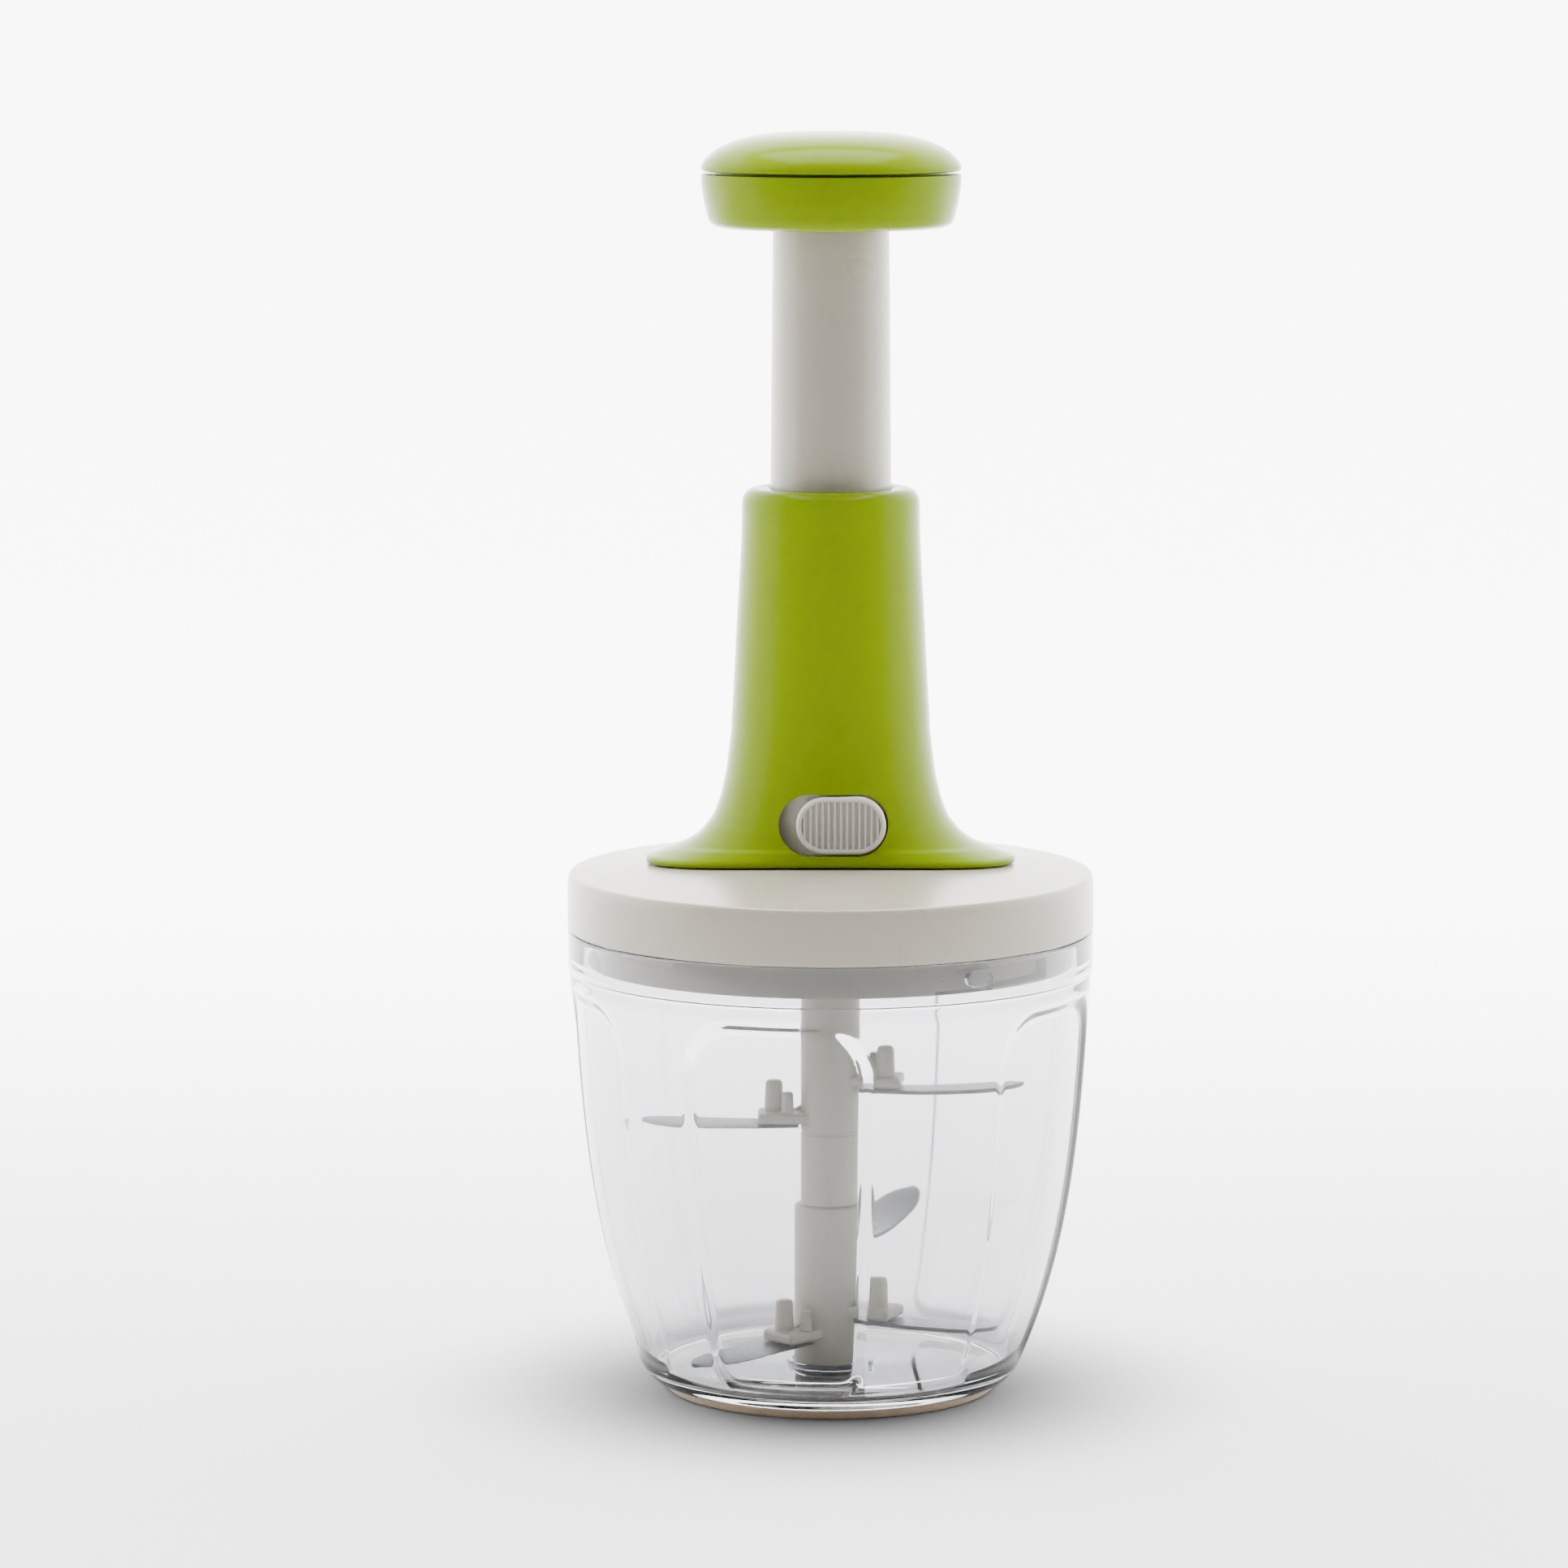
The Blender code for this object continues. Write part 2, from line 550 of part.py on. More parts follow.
def make_housing():
    outline = housing_outline()
    outer = [(x, housing_y(x, z), z, GAP + 1.1 + 0.55 * count) for count, (x, z) in enumerate(outline)]
    foot = HOUSING_FOOT_X - 0.5, HOUSING_FOOT_Y - 0.5, 0.0, GAP
    top = HOUSING_TOP
    crown = HOUSING_TOP_RADIUS
    bore = TUBE_LOW_RADIUS + SLIDE_GAP
    rounds = [(crown - 1.2, top - 1.1), (crown - 3.4, top), (bore, top), (bore, top - HOUSING_WALL)]
    outer = [foot] + outer + [(r, r, z, 0.0) for r, z in rounds]
    wall = HOUSING_WALL
    inner = []
    for (x, z), (x_next, z_next) in zip(outline[3:], outline[4:] + [(crown - 0.2, top)]):
        run = math.hypot(x_next - x, z_next - z)
        push, sink = wall * (z_next - z) / run, wall * (x - x_next) / run
        inner.append((x - push, housing_y(x, z) - wall, z - sink, GAP))
    inner = inner[:-1] + [(crown - 0.2 - wall, crown - 0.2 - wall, top - wall, 0.0)]
    sill = inner[0][0] + 1.5, inner[0][1], 0.0, GAP
    housing = finish("press_housing", turned(outer + inner[::-1] + [sill], MEDIUM, housing_place), "green", 50)
    boss_low = lid_height(HOUSING_SCREW_X - BOSS_RADIUS) + GAP
    join(housing, rods(BOSS_RADIUS, boss_low, boss_low + 4.6, (HOUSING_SCREW_X,), 12), "bosses")
    cut(housing, rods(SCREW_SHANK + GAP, boss_low - 1, boss_low + 3.9, (HOUSING_SCREW_X,)), "pilot_holes")
    slot = facing_front(extruded(stadium(SLOT_WIDTH, SLOT_HEIGHT), 0, 30), SLOT_CENTRE_X, -8, SLOT_Z)
    cut(housing, slot, "slider_slot")


def make_guide_sleeve():
    flange_top = SLEEVE_BOTTOM + SLEEVE_FLANGE
    outline = [(SLEEVE_BORE, SLEEVE_BOTTOM), (SLEEVE_RADIUS, SLEEVE_BOTTOM), (SLEEVE_RADIUS, SLEEVE_TOP),
               (SLEEVE_BORE, SLEEVE_TOP)]
    sleeve = finish("guide_sleeve", turned(outline, MEDIUM), "white")
    for side, label in ((-1, "left"), (1, "right")):
        ear_low, ear_high = sorted((side * (SLEEVE_RADIUS - 1.5), side * (SCREW_X + 4.0)))
        join(sleeve, block((ear_low, -5, SLEEVE_BOTTOM), (ear_high, 5, flange_top)), "ear_" + label)
        half = KEY_WIDTH / 2 + SLIDE_GAP
        groove = sorted((side * (SLEEVE_BORE - 2), side * (TUBE_LOW_RADIUS + KEY_REACH + SLIDE_GAP)))
        cut(sleeve, block((groove[0], -half, SLEEVE_BOTTOM - 1),
                          (groove[1], half, TUBE_BOTTOM + KEY_HEIGHT + GAP)), "key_groove_" + label)
    cut(sleeve, rods(SCREW_SHANK + GAP, SLEEVE_BOTTOM - 2, flange_top + 2, (SCREW_X,)), "screw_holes")
    window = block((TONGUE_LEFT - LOCK_TRAVEL - 0.8, -30, TONGUE_LOW - 2.4),
                   (TONGUE_RIGHT + 0.8, -8, TONGUE_HIGH + 1.2))
    cut(sleeve, window, "latch_window")


def make_bearing_plate():
    outline = [(JOURNAL_RADIUS + SLIDE_GAP, PLATE_BOTTOM), (PLATE_RADIUS, PLATE_BOTTOM), (PLATE_RADIUS, PLATE_TOP),
               (JOURNAL_RADIUS + SLIDE_GAP, PLATE_TOP)]
    plate = finish("bearing_plate", turned(outline, MEDIUM), "nylon")
    for side, label in ((-1, "left"), (1, "right")):
        low, high = sorted((side * (PLATE_RADIUS - 3.0), side * (SCREW_X + 4.0)))
        join(plate, block((low, -5, PLATE_BOTTOM), (high, 5, PLATE_TOP)), "ear_" + label)
    cut(plate, rods(SCREW_SHANK + GAP, PLATE_BOTTOM - 2, PLATE_TOP + 2, (SCREW_X,)), "screw_holes")


def make_screw(name, x, head_z, direction, length):
    """A pan-head screw. head_z is the face under its head, and direction is where the shank points."""
    tip = head_z + direction * length
    back = head_z - direction * SCREW_HEAD_HEIGHT
    outline = [(0, back), (SCREW_HEAD - 0.7, back), (SCREW_HEAD, back + direction * 0.8),
               (SCREW_HEAD, head_z), (SCREW_SHANK, head_z), (SCREW_SHANK, tip - direction), (0, tip)]
    bm = turned(outline, 16)
    bmesh.ops.translate(bm, vec=(x, 0, 0), verts=bm.verts)
    screw = finish(name, bm, "steel")
    slot_low, slot_high = sorted((back - direction, back + direction * 0.9))
    cut(screw, block((x - 1.9, -0.4, slot_low), (x + 1.9, 0.4, slot_high)), "slot")


def make_lid_screws():
    plate_head = SLEEVE_BOTTOM + SLEEVE_FLANGE + GAP
    housing_head = lid_height(HOUSING_SCREW_X) - LID_PLATE - GAP - 0.1
    for side, label in ((-1, "left"), (1, "right")):
        make_screw("plate_screw_" + label, side * SCREW_X, plate_head, -1, 6.6)
        make_screw("housing_screw_" + label, side * HOUSING_SCREW_X, housing_head, 1, 6.4)


# ---------------------------------------------------------------- plunger

def make_knob_base():
    """Lower half of the knob, with a socket for the tube and a core that carries the cap."""
    low, split = KNOB_BOTTOM, KNOB_SPLIT
    radius = KNOB_RADIUS
    socket_outer = TUBE_TOP_RADIUS + GAP + 0.1
    core = radius - KNOB_SHELL - 1.2
    outline = [
        (socket_outer, low),
        (radius - 4.2, low + 0.6),
        (radius - 2.0, low + 2.2),
        (radius - 1.1, low + 4.6),
        (radius - 0.5, low + 6.9),
        (radius - 0.1, low + 10.5),
        (radius, split - 0.3),
        (radius - 0.6, split),
        (core, split),
        (core, split + 1.6),
        (core - 9.0, split + 4.4),
        (4.2, split + 5.0),
        (4.2, split - 0.8),
        (SCREW_SHANK + GAP, split - 0.8),
        (SCREW_SHANK + GAP, TUBE_TOP + GAP),
        (socket_outer, TUBE_TOP + GAP),
    ]
    finish("knob_base", turned(outline, MEDIUM), "green")


def make_knob_cap():
    low = KNOB_SPLIT + KNOB_SEAM
    height = KNOB_DOME_HEIGHT
    steps = 9
    outer = []
    for step in range(steps):
        angle = math.pi / 2 * step / steps
        outer.append((KNOB_RADIUS * math.cos(angle) ** 0.62, low + 0.8 + (height - 0.8) * math.sin(angle) ** 1.25))
    inner = [(KNOB_RADIUS - KNOB_SHELL - 0.5, low), (KNOB_RADIUS - KNOB_SHELL - 1.0, low + 2.6),
             (KNOB_RADIUS * 0.62, low + 5.5), (0, low + 6.4)]
    outline = [(KNOB_RADIUS - 0.5, low)] + outer + [(0, low + height)] + inner[::-1]
    finish("knob_cap", turned(outline, MEDIUM), "green")


def make_tube():
    web_low = SEAT_TOP + GAP
    bore_low, bore_top = TUBE_LOW_RADIUS - TUBE_WALL, TUBE_TOP_RADIUS - TUBE_WALL + 0.3
    outline = [
        (bore_low, TUBE_BOTTOM),
        (TUBE_LOW_RADIUS, TUBE_BOTTOM),
        (TUBE_LOW_RADIUS, HOUSING_TOP - 4),
        (TUBE_TOP_RADIUS, KNOB_BOTTOM),
        (TUBE_TOP_RADIUS, TUBE_TOP),
        (SCREW_SHANK + GAP, TUBE_TOP),
        (SCREW_SHANK + GAP, web_low),
        (bore_top, web_low),
    ]
    tube = finish("plunger_tube", turned(outline, MEDIUM), "white")
    for side, label in ((-1, "left"), (1, "right")):
        key = sorted((side * (TUBE_LOW_RADIUS - 1.0), side * (TUBE_LOW_RADIUS + KEY_REACH)))
        join(tube, block((key[0], -KEY_WIDTH / 2, TUBE_BOTTOM), (key[1], KEY_WIDTH / 2, TUBE_BOTTOM + KEY_HEIGHT)),
             "key_" + label)
    rise = TUBE_BOTTOM - PRESSED_BOTTOM
    cut(tube, block((TONGUE_LEFT - SLIDE_GAP, -20, TUBE_BOTTOM - 1),
                    (TONGUE_RIGHT + SLIDE_GAP, -9, TONGUE_HIGH + rise + SLIDE_GAP)), "latch_entry")
    cut(tube, block((TONGUE_LEFT - LOCK_TRAVEL - SLIDE_GAP, -20, TONGUE_LOW + rise - SLIDE_GAP),
                    (TONGUE_LEFT + 1, -9, TONGUE_HIGH + rise + SLIDE_GAP)), "latch_notch")


def make_spring_seat():
    radius = TUBE_TOP_RADIUS - TUBE_WALL - 0.1
    outline = [(SCREW_SHANK + GAP, SEAT_BOTTOM + 2.0), (SPRING_RADIUS - 2.2, SEAT_BOTTOM + 2.0),
               (SPRING_RADIUS - 1.6, SEAT_BOTTOM), (radius, SEAT_BOTTOM), (radius, SEAT_TOP),
               (SCREW_SHANK + GAP, SEAT_TOP)]
    finish("spring_seat", turned(outline, 32), "nylon")


def make_knob_screw():
    head_z = KNOB_SPLIT - 0.8 + GAP
    make_screw("knob_screw", 0.0, head_z, -1, head_z - SEAT_BOTTOM - 2.6)


def strip_ring(bm, z, width, thick):
    """The four corners of the flat strip at height z: it turns once in each lead."""
    turn = Matrix.Rotation(2 * math.pi * z / LEAD, 3, "Z")
    half_width, half_thick = width / 2, thick / 2
    corners = ((half_width, -half_thick), (half_width, half_thick), (-half_width, half_thick),
               (-half_width, -half_thick))
    return [bm.verts.new(turn @ Vector((x, y, 0)) + Vector((0, 0, z))) for x, y in corners]


def twisted_strip(low, high, width, thick, steps):
    bm = bmesh.new()
    rings = [strip_ring(bm, low + (high - low) * step / steps, width, thick) for step in range(steps + 1)]
    for before, after in zip(rings, rings[1:]):
        for side in range(4):
            other = (side + 1) % 4
            bm.faces.new((before[side], before[other], after[other]))
            bm.faces.new((before[side], after[other], after[side]))
    bm.faces.new(rings[0])
    bm.faces.new(rings[-1])
    return bm


def make_drive_nut():
    """Plug in the foot of the tube. Its twisted slot makes the spiral rod turn."""
    low = TUBE_BOTTOM + GAP
    radius = TUBE_LOW_RADIUS - TUBE_WALL - GAP
    nut = finish("drive_nut", rod(radius, low, low + NUT_HEIGHT, segments=32), "nylon")
    cut(nut, twisted_strip(low - 2, low + NUT_HEIGHT + 2, STRIP_WIDTH + 2 * SLIDE_GAP,
                           STRIP_THICK + 2 * SLIDE_GAP, 12), "twisted_slot")


# ---------------------------------------------------------------- spiral rod and clutch

def make_spiral_rod():
    strip_low = PLATE_TOP - 1.0
    steps = round((ROD_TOP - strip_low) / LEAD * 24)
    strip = finish("spiral_rod", twisted_strip(strip_low, ROD_TOP, STRIP_WIDTH, STRIP_THICK, steps), "steel")
    outline = [(0, DRIVER_BOTTOM + 1), (JOURNAL_RADIUS, DRIVER_BOTTOM + 1), (JOURNAL_RADIUS, FLANGE_BOTTOM),
               (FLANGE_RADIUS, FLANGE_BOTTOM), (FLANGE_RADIUS, FLANGE_TOP), (JOURNAL_RADIUS, FLANGE_TOP),
               (JOURNAL_RADIUS, PLATE_TOP + 0.8), (0, PLATE_TOP + 0.8)]
    join(strip, turned(outline, SMALL), "journal")


def make_thrust_cup():
    rim = SPRING_RADIUS + 1.6
    outline = [(0, CUP_BOTTOM), (rim - 1, CUP_BOTTOM), (rim, CUP_BOTTOM + 1), (rim, CUP_BOTTOM + CUP_HEIGHT),
               (SPRING_RADIUS - 1.4, CUP_BOTTOM + CUP_HEIGHT), (SPRING_RADIUS - 2.2, CUP_BOTTOM + CUP_HEIGHT + 1.2),
               (0, CUP_BOTTOM + CUP_HEIGHT + 1.2)]
    finish("thrust_cup", turned(outline, SMALL), "nylon")


def tooth_place(point, angle):
    """Slopes a face into saw teeth where the outline point is marked."""
    radius, z, toothed = point
    if toothed:
        z -= TOOTH_HEIGHT * (angle * CLUTCH_TEETH / (2 * math.pi) % 1.0)
    return round_place((radius, z), angle)


def make_clutch_driver():
    bore = JOURNAL_RADIUS + GAP
    low = DRIVER_BOTTOM + TOOTH_HEIGHT
    outline = [(bore, low, True), (CLUTCH_RADIUS, low, True), (CLUTCH_RADIUS, DRIVER_TOP, False),
               (bore, DRIVER_TOP, False)]
    finish("clutch_driver", turned(outline, MEDIUM, tooth_place), "nylon", 20)


def make_output_hub():
    """Driven half of the clutch. The blade shaft plugs into its socket."""
    top = HUB_TOP + TOOTH_HEIGHT - SLIDE_GAP
    flange_low = BUSH_TOP + SLIDE_GAP
    outline = [
        (0, HUB_TOP - 2, False),
        (JOURNAL_RADIUS + 1, HUB_TOP - 2, False),
        (JOURNAL_RADIUS + 1, top, True),
        (CLUTCH_RADIUS, top, True),
        (CLUTCH_RADIUS, flange_low, False),
        (HUB_RADIUS, flange_low, False),
        (HUB_RADIUS, HUB_BOTTOM, False),
        (HUB_SOCKET_RADIUS, HUB_BOTTOM, False),
        (HUB_SOCKET_RADIUS, SOCKET_TOP, False),
        (0, SOCKET_TOP, False),
    ]
    finish("output_hub", turned(outline, MEDIUM, tooth_place), "ivory", 20)


def make_neck_bush():
    inner, outer = HUB_RADIUS + SLIDE_GAP, NECK_BORE - GAP
    outline = [(inner, NECK_BOTTOM - 1.2), (outer + 2.0, NECK_BOTTOM - 1.2), (outer + 2.0, NECK_BOTTOM - GAP),
               (outer, NECK_BOTTOM - GAP), (outer, BUSH_TOP), (inner, BUSH_TOP)]
    finish("neck_bush", turned(outline, MEDIUM), "nylon")


def make_return_spring():
    steps = round(SPRING_TURNS * 10)
    low, high = SPRING_BOTTOM + SPRING_WIRE, SPRING_TOP - SPRING_WIRE
    path = bpy.data.curves.new("return_spring", "CURVE")
    path.dimensions = "3D"
    path.bevel_depth = SPRING_WIRE * MM
    path.bevel_resolution = 0
    path.use_fill_caps = True
    line = path.splines.new("POLY")
    line.points.add(steps)
    for step, point in enumerate(line.points):
        angle = 2 * math.pi * SPRING_TURNS * step / steps
        x, y = SPRING_RADIUS * math.cos(angle), SPRING_RADIUS * math.sin(angle)
        point.co = (x * MM, y * MM, (low + (high - low) * step / steps) * MM, 1)
    path.materials.append(material("steel"))
    spring = bpy.data.objects.new("return_spring", path)
    bpy.context.scene.collection.objects.link(spring)


# ---------------------------------------------------------------- lock slider

def make_lock_track():
    """Curved white plate behind the slot, which the slider runs on."""
    floor = spread(math.radians(-130), math.radians(-50), LID_TOP + GAP, 20)
    track = finish("lock_track", sector(bmesh.new(), TRACK_INNER, TRACK_OUTER, floor, SLOT_Z + 9.5), "white")
    window = block((TONGUE_LEFT - LOCK_TRAVEL + 0.6, -30, TONGUE_LOW - 1.2), (TONGUE_RIGHT - 0.4, -10, TONGUE_HIGH - 0.6))
    cut(track, window, "window")


def make_lock_button():
    thick = BUTTON_THICK
    front = -BUTTON_FRONT
    height = SLOT_HEIGHT - 2 * 0.4
    plate = facing_front(extruded(stadium(BUTTON_WIDTH, height), 0, thick), BUTTON_X, front + thick, SLOT_Z)
    button = finish("lock_button", plate, "white")
    pitch = (BUTTON_WIDTH - 3.2) / RIBS
    for count in range(RIBS):
        x = BUTTON_X + pitch * (count - (RIBS - 1) / 2)
        reach = max(abs(x - BUTTON_X) - (BUTTON_WIDTH - height) / 2, 0)
        half = math.sqrt((height / 2) ** 2 - reach ** 2) - 1.0
        rib = block((x - pitch * 0.28, front - RIB_HEIGHT, SLOT_Z - half), (x + pitch * 0.28, front + 0.4, SLOT_Z + half))
        join(button, rib, "rib_" + str(count))
    stem = block((TONGUE_LEFT + 1.6, front + thick - 0.5, TONGUE_LOW - 0.4),
                 (TONGUE_RIGHT - 1.4, -SLEEVE_RADIUS - GAP, TONGUE_HIGH - 1.4))
    join(button, stem, "stem")


def make_lock_latch():
    latch = block((TONGUE_LEFT, -SLEEVE_RADIUS, TONGUE_LOW), (TONGUE_RIGHT, -TONGUE_TIP, TONGUE_HIGH))
    finish("lock_latch", latch, "nylon")


# ---------------------------------------------------------------- blade shaft

def blade_underside(share):
    return SHAFT_FOOT + share * (HUB_BOTTOM - SHAFT_FOOT)


def arm_pieces(blade, shaft_radius):
    """The arm and the two pegs that hold one blade, as separate overlapping solids."""
    share, direction, _, _ = blade
    low = blade_underside(share) + BLADE_THICK + GAP
    high = low + ARM_THICK
    peg_x = ARM_REACH - 4.0
    arm = block((shaft_radius - 3.0, -ARM_WIDTH / 2, low), (ARM_REACH, ARM_WIDTH / 2, high))
    tall = rod(PEG_RADIUS, high - 1, high + PEG_HEIGHT, peg_x, -1.5, 16)
    short = rod(SHORT_PEG_RADIUS, high - 1, high + PEG_HEIGHT - SHORT_PEG_DROP, peg_x - 3.4, 2.6, 12)
    pieces = {"arm": arm, "tall_peg": tall, "short_peg": short}
    for bm in pieces.values():
        bmesh.ops.rotate(bm, matrix=Matrix.Rotation(math.radians(direction), 3, "Z"), verts=bm.verts)
    return pieces


def add_arms(shaft, blades, shaft_radius):
    for count, blade in enumerate(blades, 1):
        for label, bm in arm_pieces(blade, shaft_radius).items():
            join(shaft, bm, label + "_" + str(count))


def make_shaft_upper():
    radius = SHAFT_UPPER_RADIUS
    low = SHAFT_JOINT + GAP
    top = SOCKET_TOP - GAP
    plug = HUB_SOCKET_RADIUS - GAP
    outline = [(0, SHAFT_JOINT - TENON_LENGTH), (SHAFT_TENON, SHAFT_JOINT - TENON_LENGTH), (SHAFT_TENON, low),
               (radius, low), (radius, SHAFT_JOINT + 17.9), (radius - 0.25, SHAFT_JOINT + 18.1),
               (radius - 0.25, SHAFT_JOINT + 18.6), (radius, SHAFT_JOINT + 18.8), (radius, HUB_BOTTOM - GAP),
               (plug, HUB_BOTTOM - GAP), (plug, top), (0, top)]
    shaft = finish("blade_shaft_upper", turned(outline, 32), "ivory")
    add_arms(shaft, UPPER_BLADES, radius)


def make_shaft_lower():
    radius = SHAFT_LOWER_RADIUS
    low = SHAFT_FOOT
    socket_low = SHAFT_JOINT - TENON_LENGTH - GAP
    bore_top = SHAFT_FOOT + PIN_HEIGHT
    bore = PIN_RADIUS + SLIDE_GAP
    outline = [(bore, low), (radius - 0.6, low), (radius, low + 1.5), (radius, SHAFT_JOINT - 0.6),
               (radius - 0.6, SHAFT_JOINT), (SHAFT_TENON + GAP, SHAFT_JOINT), (SHAFT_TENON + GAP, socket_low),
               (0, socket_low), (0, bore_top), (bore, bore_top)]
    shaft = finish("blade_shaft_lower", turned(outline, 32), "ivory")
    add_arms(shaft, LOWER_BLADES, radius)


def blade_half_width(share):
    """Half width along the blade, from root 0 to tip 1."""
    if share < 0.72:
        return BLADE_WIDTH / 2 * (0.72 + 0.28 * math.sin(math.pi * share / 0.72 / 2))
    return BLADE_WIDTH / 2 * math.sqrt(max(1 - ((share - 0.72) / 0.28) ** 2, 0.0))


def make_blade(name, blade, shaft_radius):
    """A flat steel leaf with a rounded sweeping tip. The tip half is bent up or down."""
    height_share, direction, wall_gap, rise = blade
    underside = blade_underside(height_share)
    reach = bowl_radius(underside) - BOWL_WALL - wall_gap
    root = shaft_radius + GAP + 0.2
    steps = 14
    bm = bmesh.new()
    rings = []
    for step in range(steps + 1):
        share = step / steps
        x = root + (reach - root) * share
        half = max(blade_half_width(share), 0.6)
        sweep = -3.0 * max(share - 0.5, 0) ** 2 * 4
        lift = rise * max((x - ARM_REACH) / (reach - ARM_REACH), 0) ** 2
        low = underside + lift
        edge = 0.25
        corners = ((sweep - half, low), (sweep + half * 0.55, low), (sweep + half, low + BLADE_THICK / 2 - edge / 2),
                   (sweep + half, low + BLADE_THICK / 2 + edge / 2), (sweep + half * 0.55, low + BLADE_THICK),
                   (sweep - half, low + BLADE_THICK))
        rings.append([bm.verts.new((x, y, z)) for y, z in corners])
    for before, after in zip(rings, rings[1:]):
        for side in range(6):
            other = (side + 1) % 6
            bm.faces.new((before[side], before[other], after[other]))
            bm.faces.new((before[side], after[other], after[side]))
    bm.faces.new(rings[0])
    bm.faces.new(rings[-1])
    bmesh.ops.rotate(bm, matrix=Matrix.Rotation(math.radians(direction), 3, "Z"), verts=bm.verts)
    finish(name, bm, "steel", 25)


def make_blades():
    for count, blade in enumerate(UPPER_BLADES, 1):
        make_blade("blade_" + str(count), blade, SHAFT_UPPER_RADIUS)
    for count, blade in enumerate(LOWER_BLADES, len(UPPER_BLADES) + 1):
        make_blade("blade_" + str(count), blade, SHAFT_LOWER_RADIUS)


def main():
    clear_scene()
    make_base_ring()
    make_bowl()
    make_gasket()
    make_lid()
    make_housing()
    make_guide_sleeve()
    make_bearing_plate()
    make_lid_screws()
    make_knob_base()
    make_knob_cap()
    make_tube()
    make_spring_seat()
    make_knob_screw()
    make_drive_nut()
    make_spiral_rod()
    make_thrust_cup()
    make_clutch_driver()
    make_output_hub()
    make_neck_bush()
    make_return_spring()
    make_lock_track()
    make_lock_button()
    make_lock_latch()
    make_shaft_upper()
    make_shaft_lower()
    make_blades()


main()
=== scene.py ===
"""Looks of a hand-press vegetable chopper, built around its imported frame.

Sizes are in millimetres and are turned into metres where a mesh is made. Places come from the
boxes of the frame's nodes.
"""

import math

import bmesh
import bpy
from mathutils import Matrix, Vector


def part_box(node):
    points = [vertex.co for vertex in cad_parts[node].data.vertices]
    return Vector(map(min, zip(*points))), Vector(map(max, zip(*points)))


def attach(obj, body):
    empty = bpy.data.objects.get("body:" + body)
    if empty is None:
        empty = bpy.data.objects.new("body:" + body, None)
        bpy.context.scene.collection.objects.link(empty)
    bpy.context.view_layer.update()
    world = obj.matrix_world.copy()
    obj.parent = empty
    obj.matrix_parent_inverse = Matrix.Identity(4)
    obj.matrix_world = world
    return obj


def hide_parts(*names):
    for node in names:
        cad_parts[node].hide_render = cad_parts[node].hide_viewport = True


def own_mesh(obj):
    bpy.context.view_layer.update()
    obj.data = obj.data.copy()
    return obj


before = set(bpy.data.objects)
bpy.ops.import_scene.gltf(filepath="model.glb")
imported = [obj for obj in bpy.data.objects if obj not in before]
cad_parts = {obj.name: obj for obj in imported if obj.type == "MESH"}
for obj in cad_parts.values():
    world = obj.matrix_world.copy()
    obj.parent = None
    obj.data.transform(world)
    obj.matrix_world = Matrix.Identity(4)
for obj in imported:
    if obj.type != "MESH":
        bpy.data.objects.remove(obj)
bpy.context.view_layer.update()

MM = 0.001
ROUND = 192          # facets round a large turned piece
NEAT = 96            # facets round a small turned piece
BOWL_FACETS = 560    # enough for the slopes of the bowl's panels
LID_FACETS = 480     # enough for the lid's bayonet grooves


def span(node, axis):
    """Lowest and highest coordinate of a node along an axis, in millimetres."""
    low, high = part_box(node)
    return low[axis] / MM, high[axis] / MM


BOWL_LOW, RIM = span("bowl", 2)
RADIUS = span("bowl", 0)[1]
SKIRT_LOW, LID_TOP = span("lid", 2)
HOUSING_TOP = span("press_housing", 2)[1]
FOOT_X = span("press_housing", 0)[1]
FOOT_Y = span("press_housing", 1)[1]
TUBE_LOW, TUBE_TOP = span("plunger_tube", 2)
KNOB_LOW = span("knob_base", 2)[0]
CAP_LOW, CAP_TOP = span("knob_cap", 2)
KNOB_RADIUS = span("knob_cap", 0)[1]
BUTTON_LEFT, BUTTON_RIGHT = span("lock_button", 0)
BUTTON_LOW, BUTTON_HIGH = span("lock_button", 2)
BUTTON_FACE = span("lock_button", 1)[0]
SPRING_LOW, SPRING_TOP = span("return_spring", 2)
SHAFT_SPLIT = span("blade_shaft_lower", 2)[1]
HUB_LOW = span("output_hub", 2)[0]

WALL = 2.4                    # wall of the bowl
BAND = 10.0                   # height of the upright band at the bowl's rim
BAND_STEP = 0.4               # the band stands this far proud of the side
FLUTES = [math.radians(turn) for turn in (-164, -102.8, -29, 42, 114)]
FLUTE_SPAN = math.radians(41)
FLUTE_DEPTH = 1.2
FLUTE_RAMP = 2.8              # width of the slope round a panel
FLUTE_LOW, FLUTE_HIGH = 6.0, 97.0
FLUTE_TOP_CORNER, FLUTE_LOW_CORNER = 13.0, 5.0
LUG_ANGLE = math.radians(-55.9)
LUG_LENGTH = 3.6              # half the length of a bayonet lug
LUGS = 3
HUB_BORE = 10.8               # bore of the lid's neck, and the well round the bowl's pivot pin


# ---------------------------------------------------------------- materials

def node_material(name):
    """A new material, its node tree and its Principled shader."""
    made = bpy.data.materials.new(name)
    made.use_nodes = True
    tree = made.node_tree
    return made, tree, tree.nodes["Principled BSDF"]


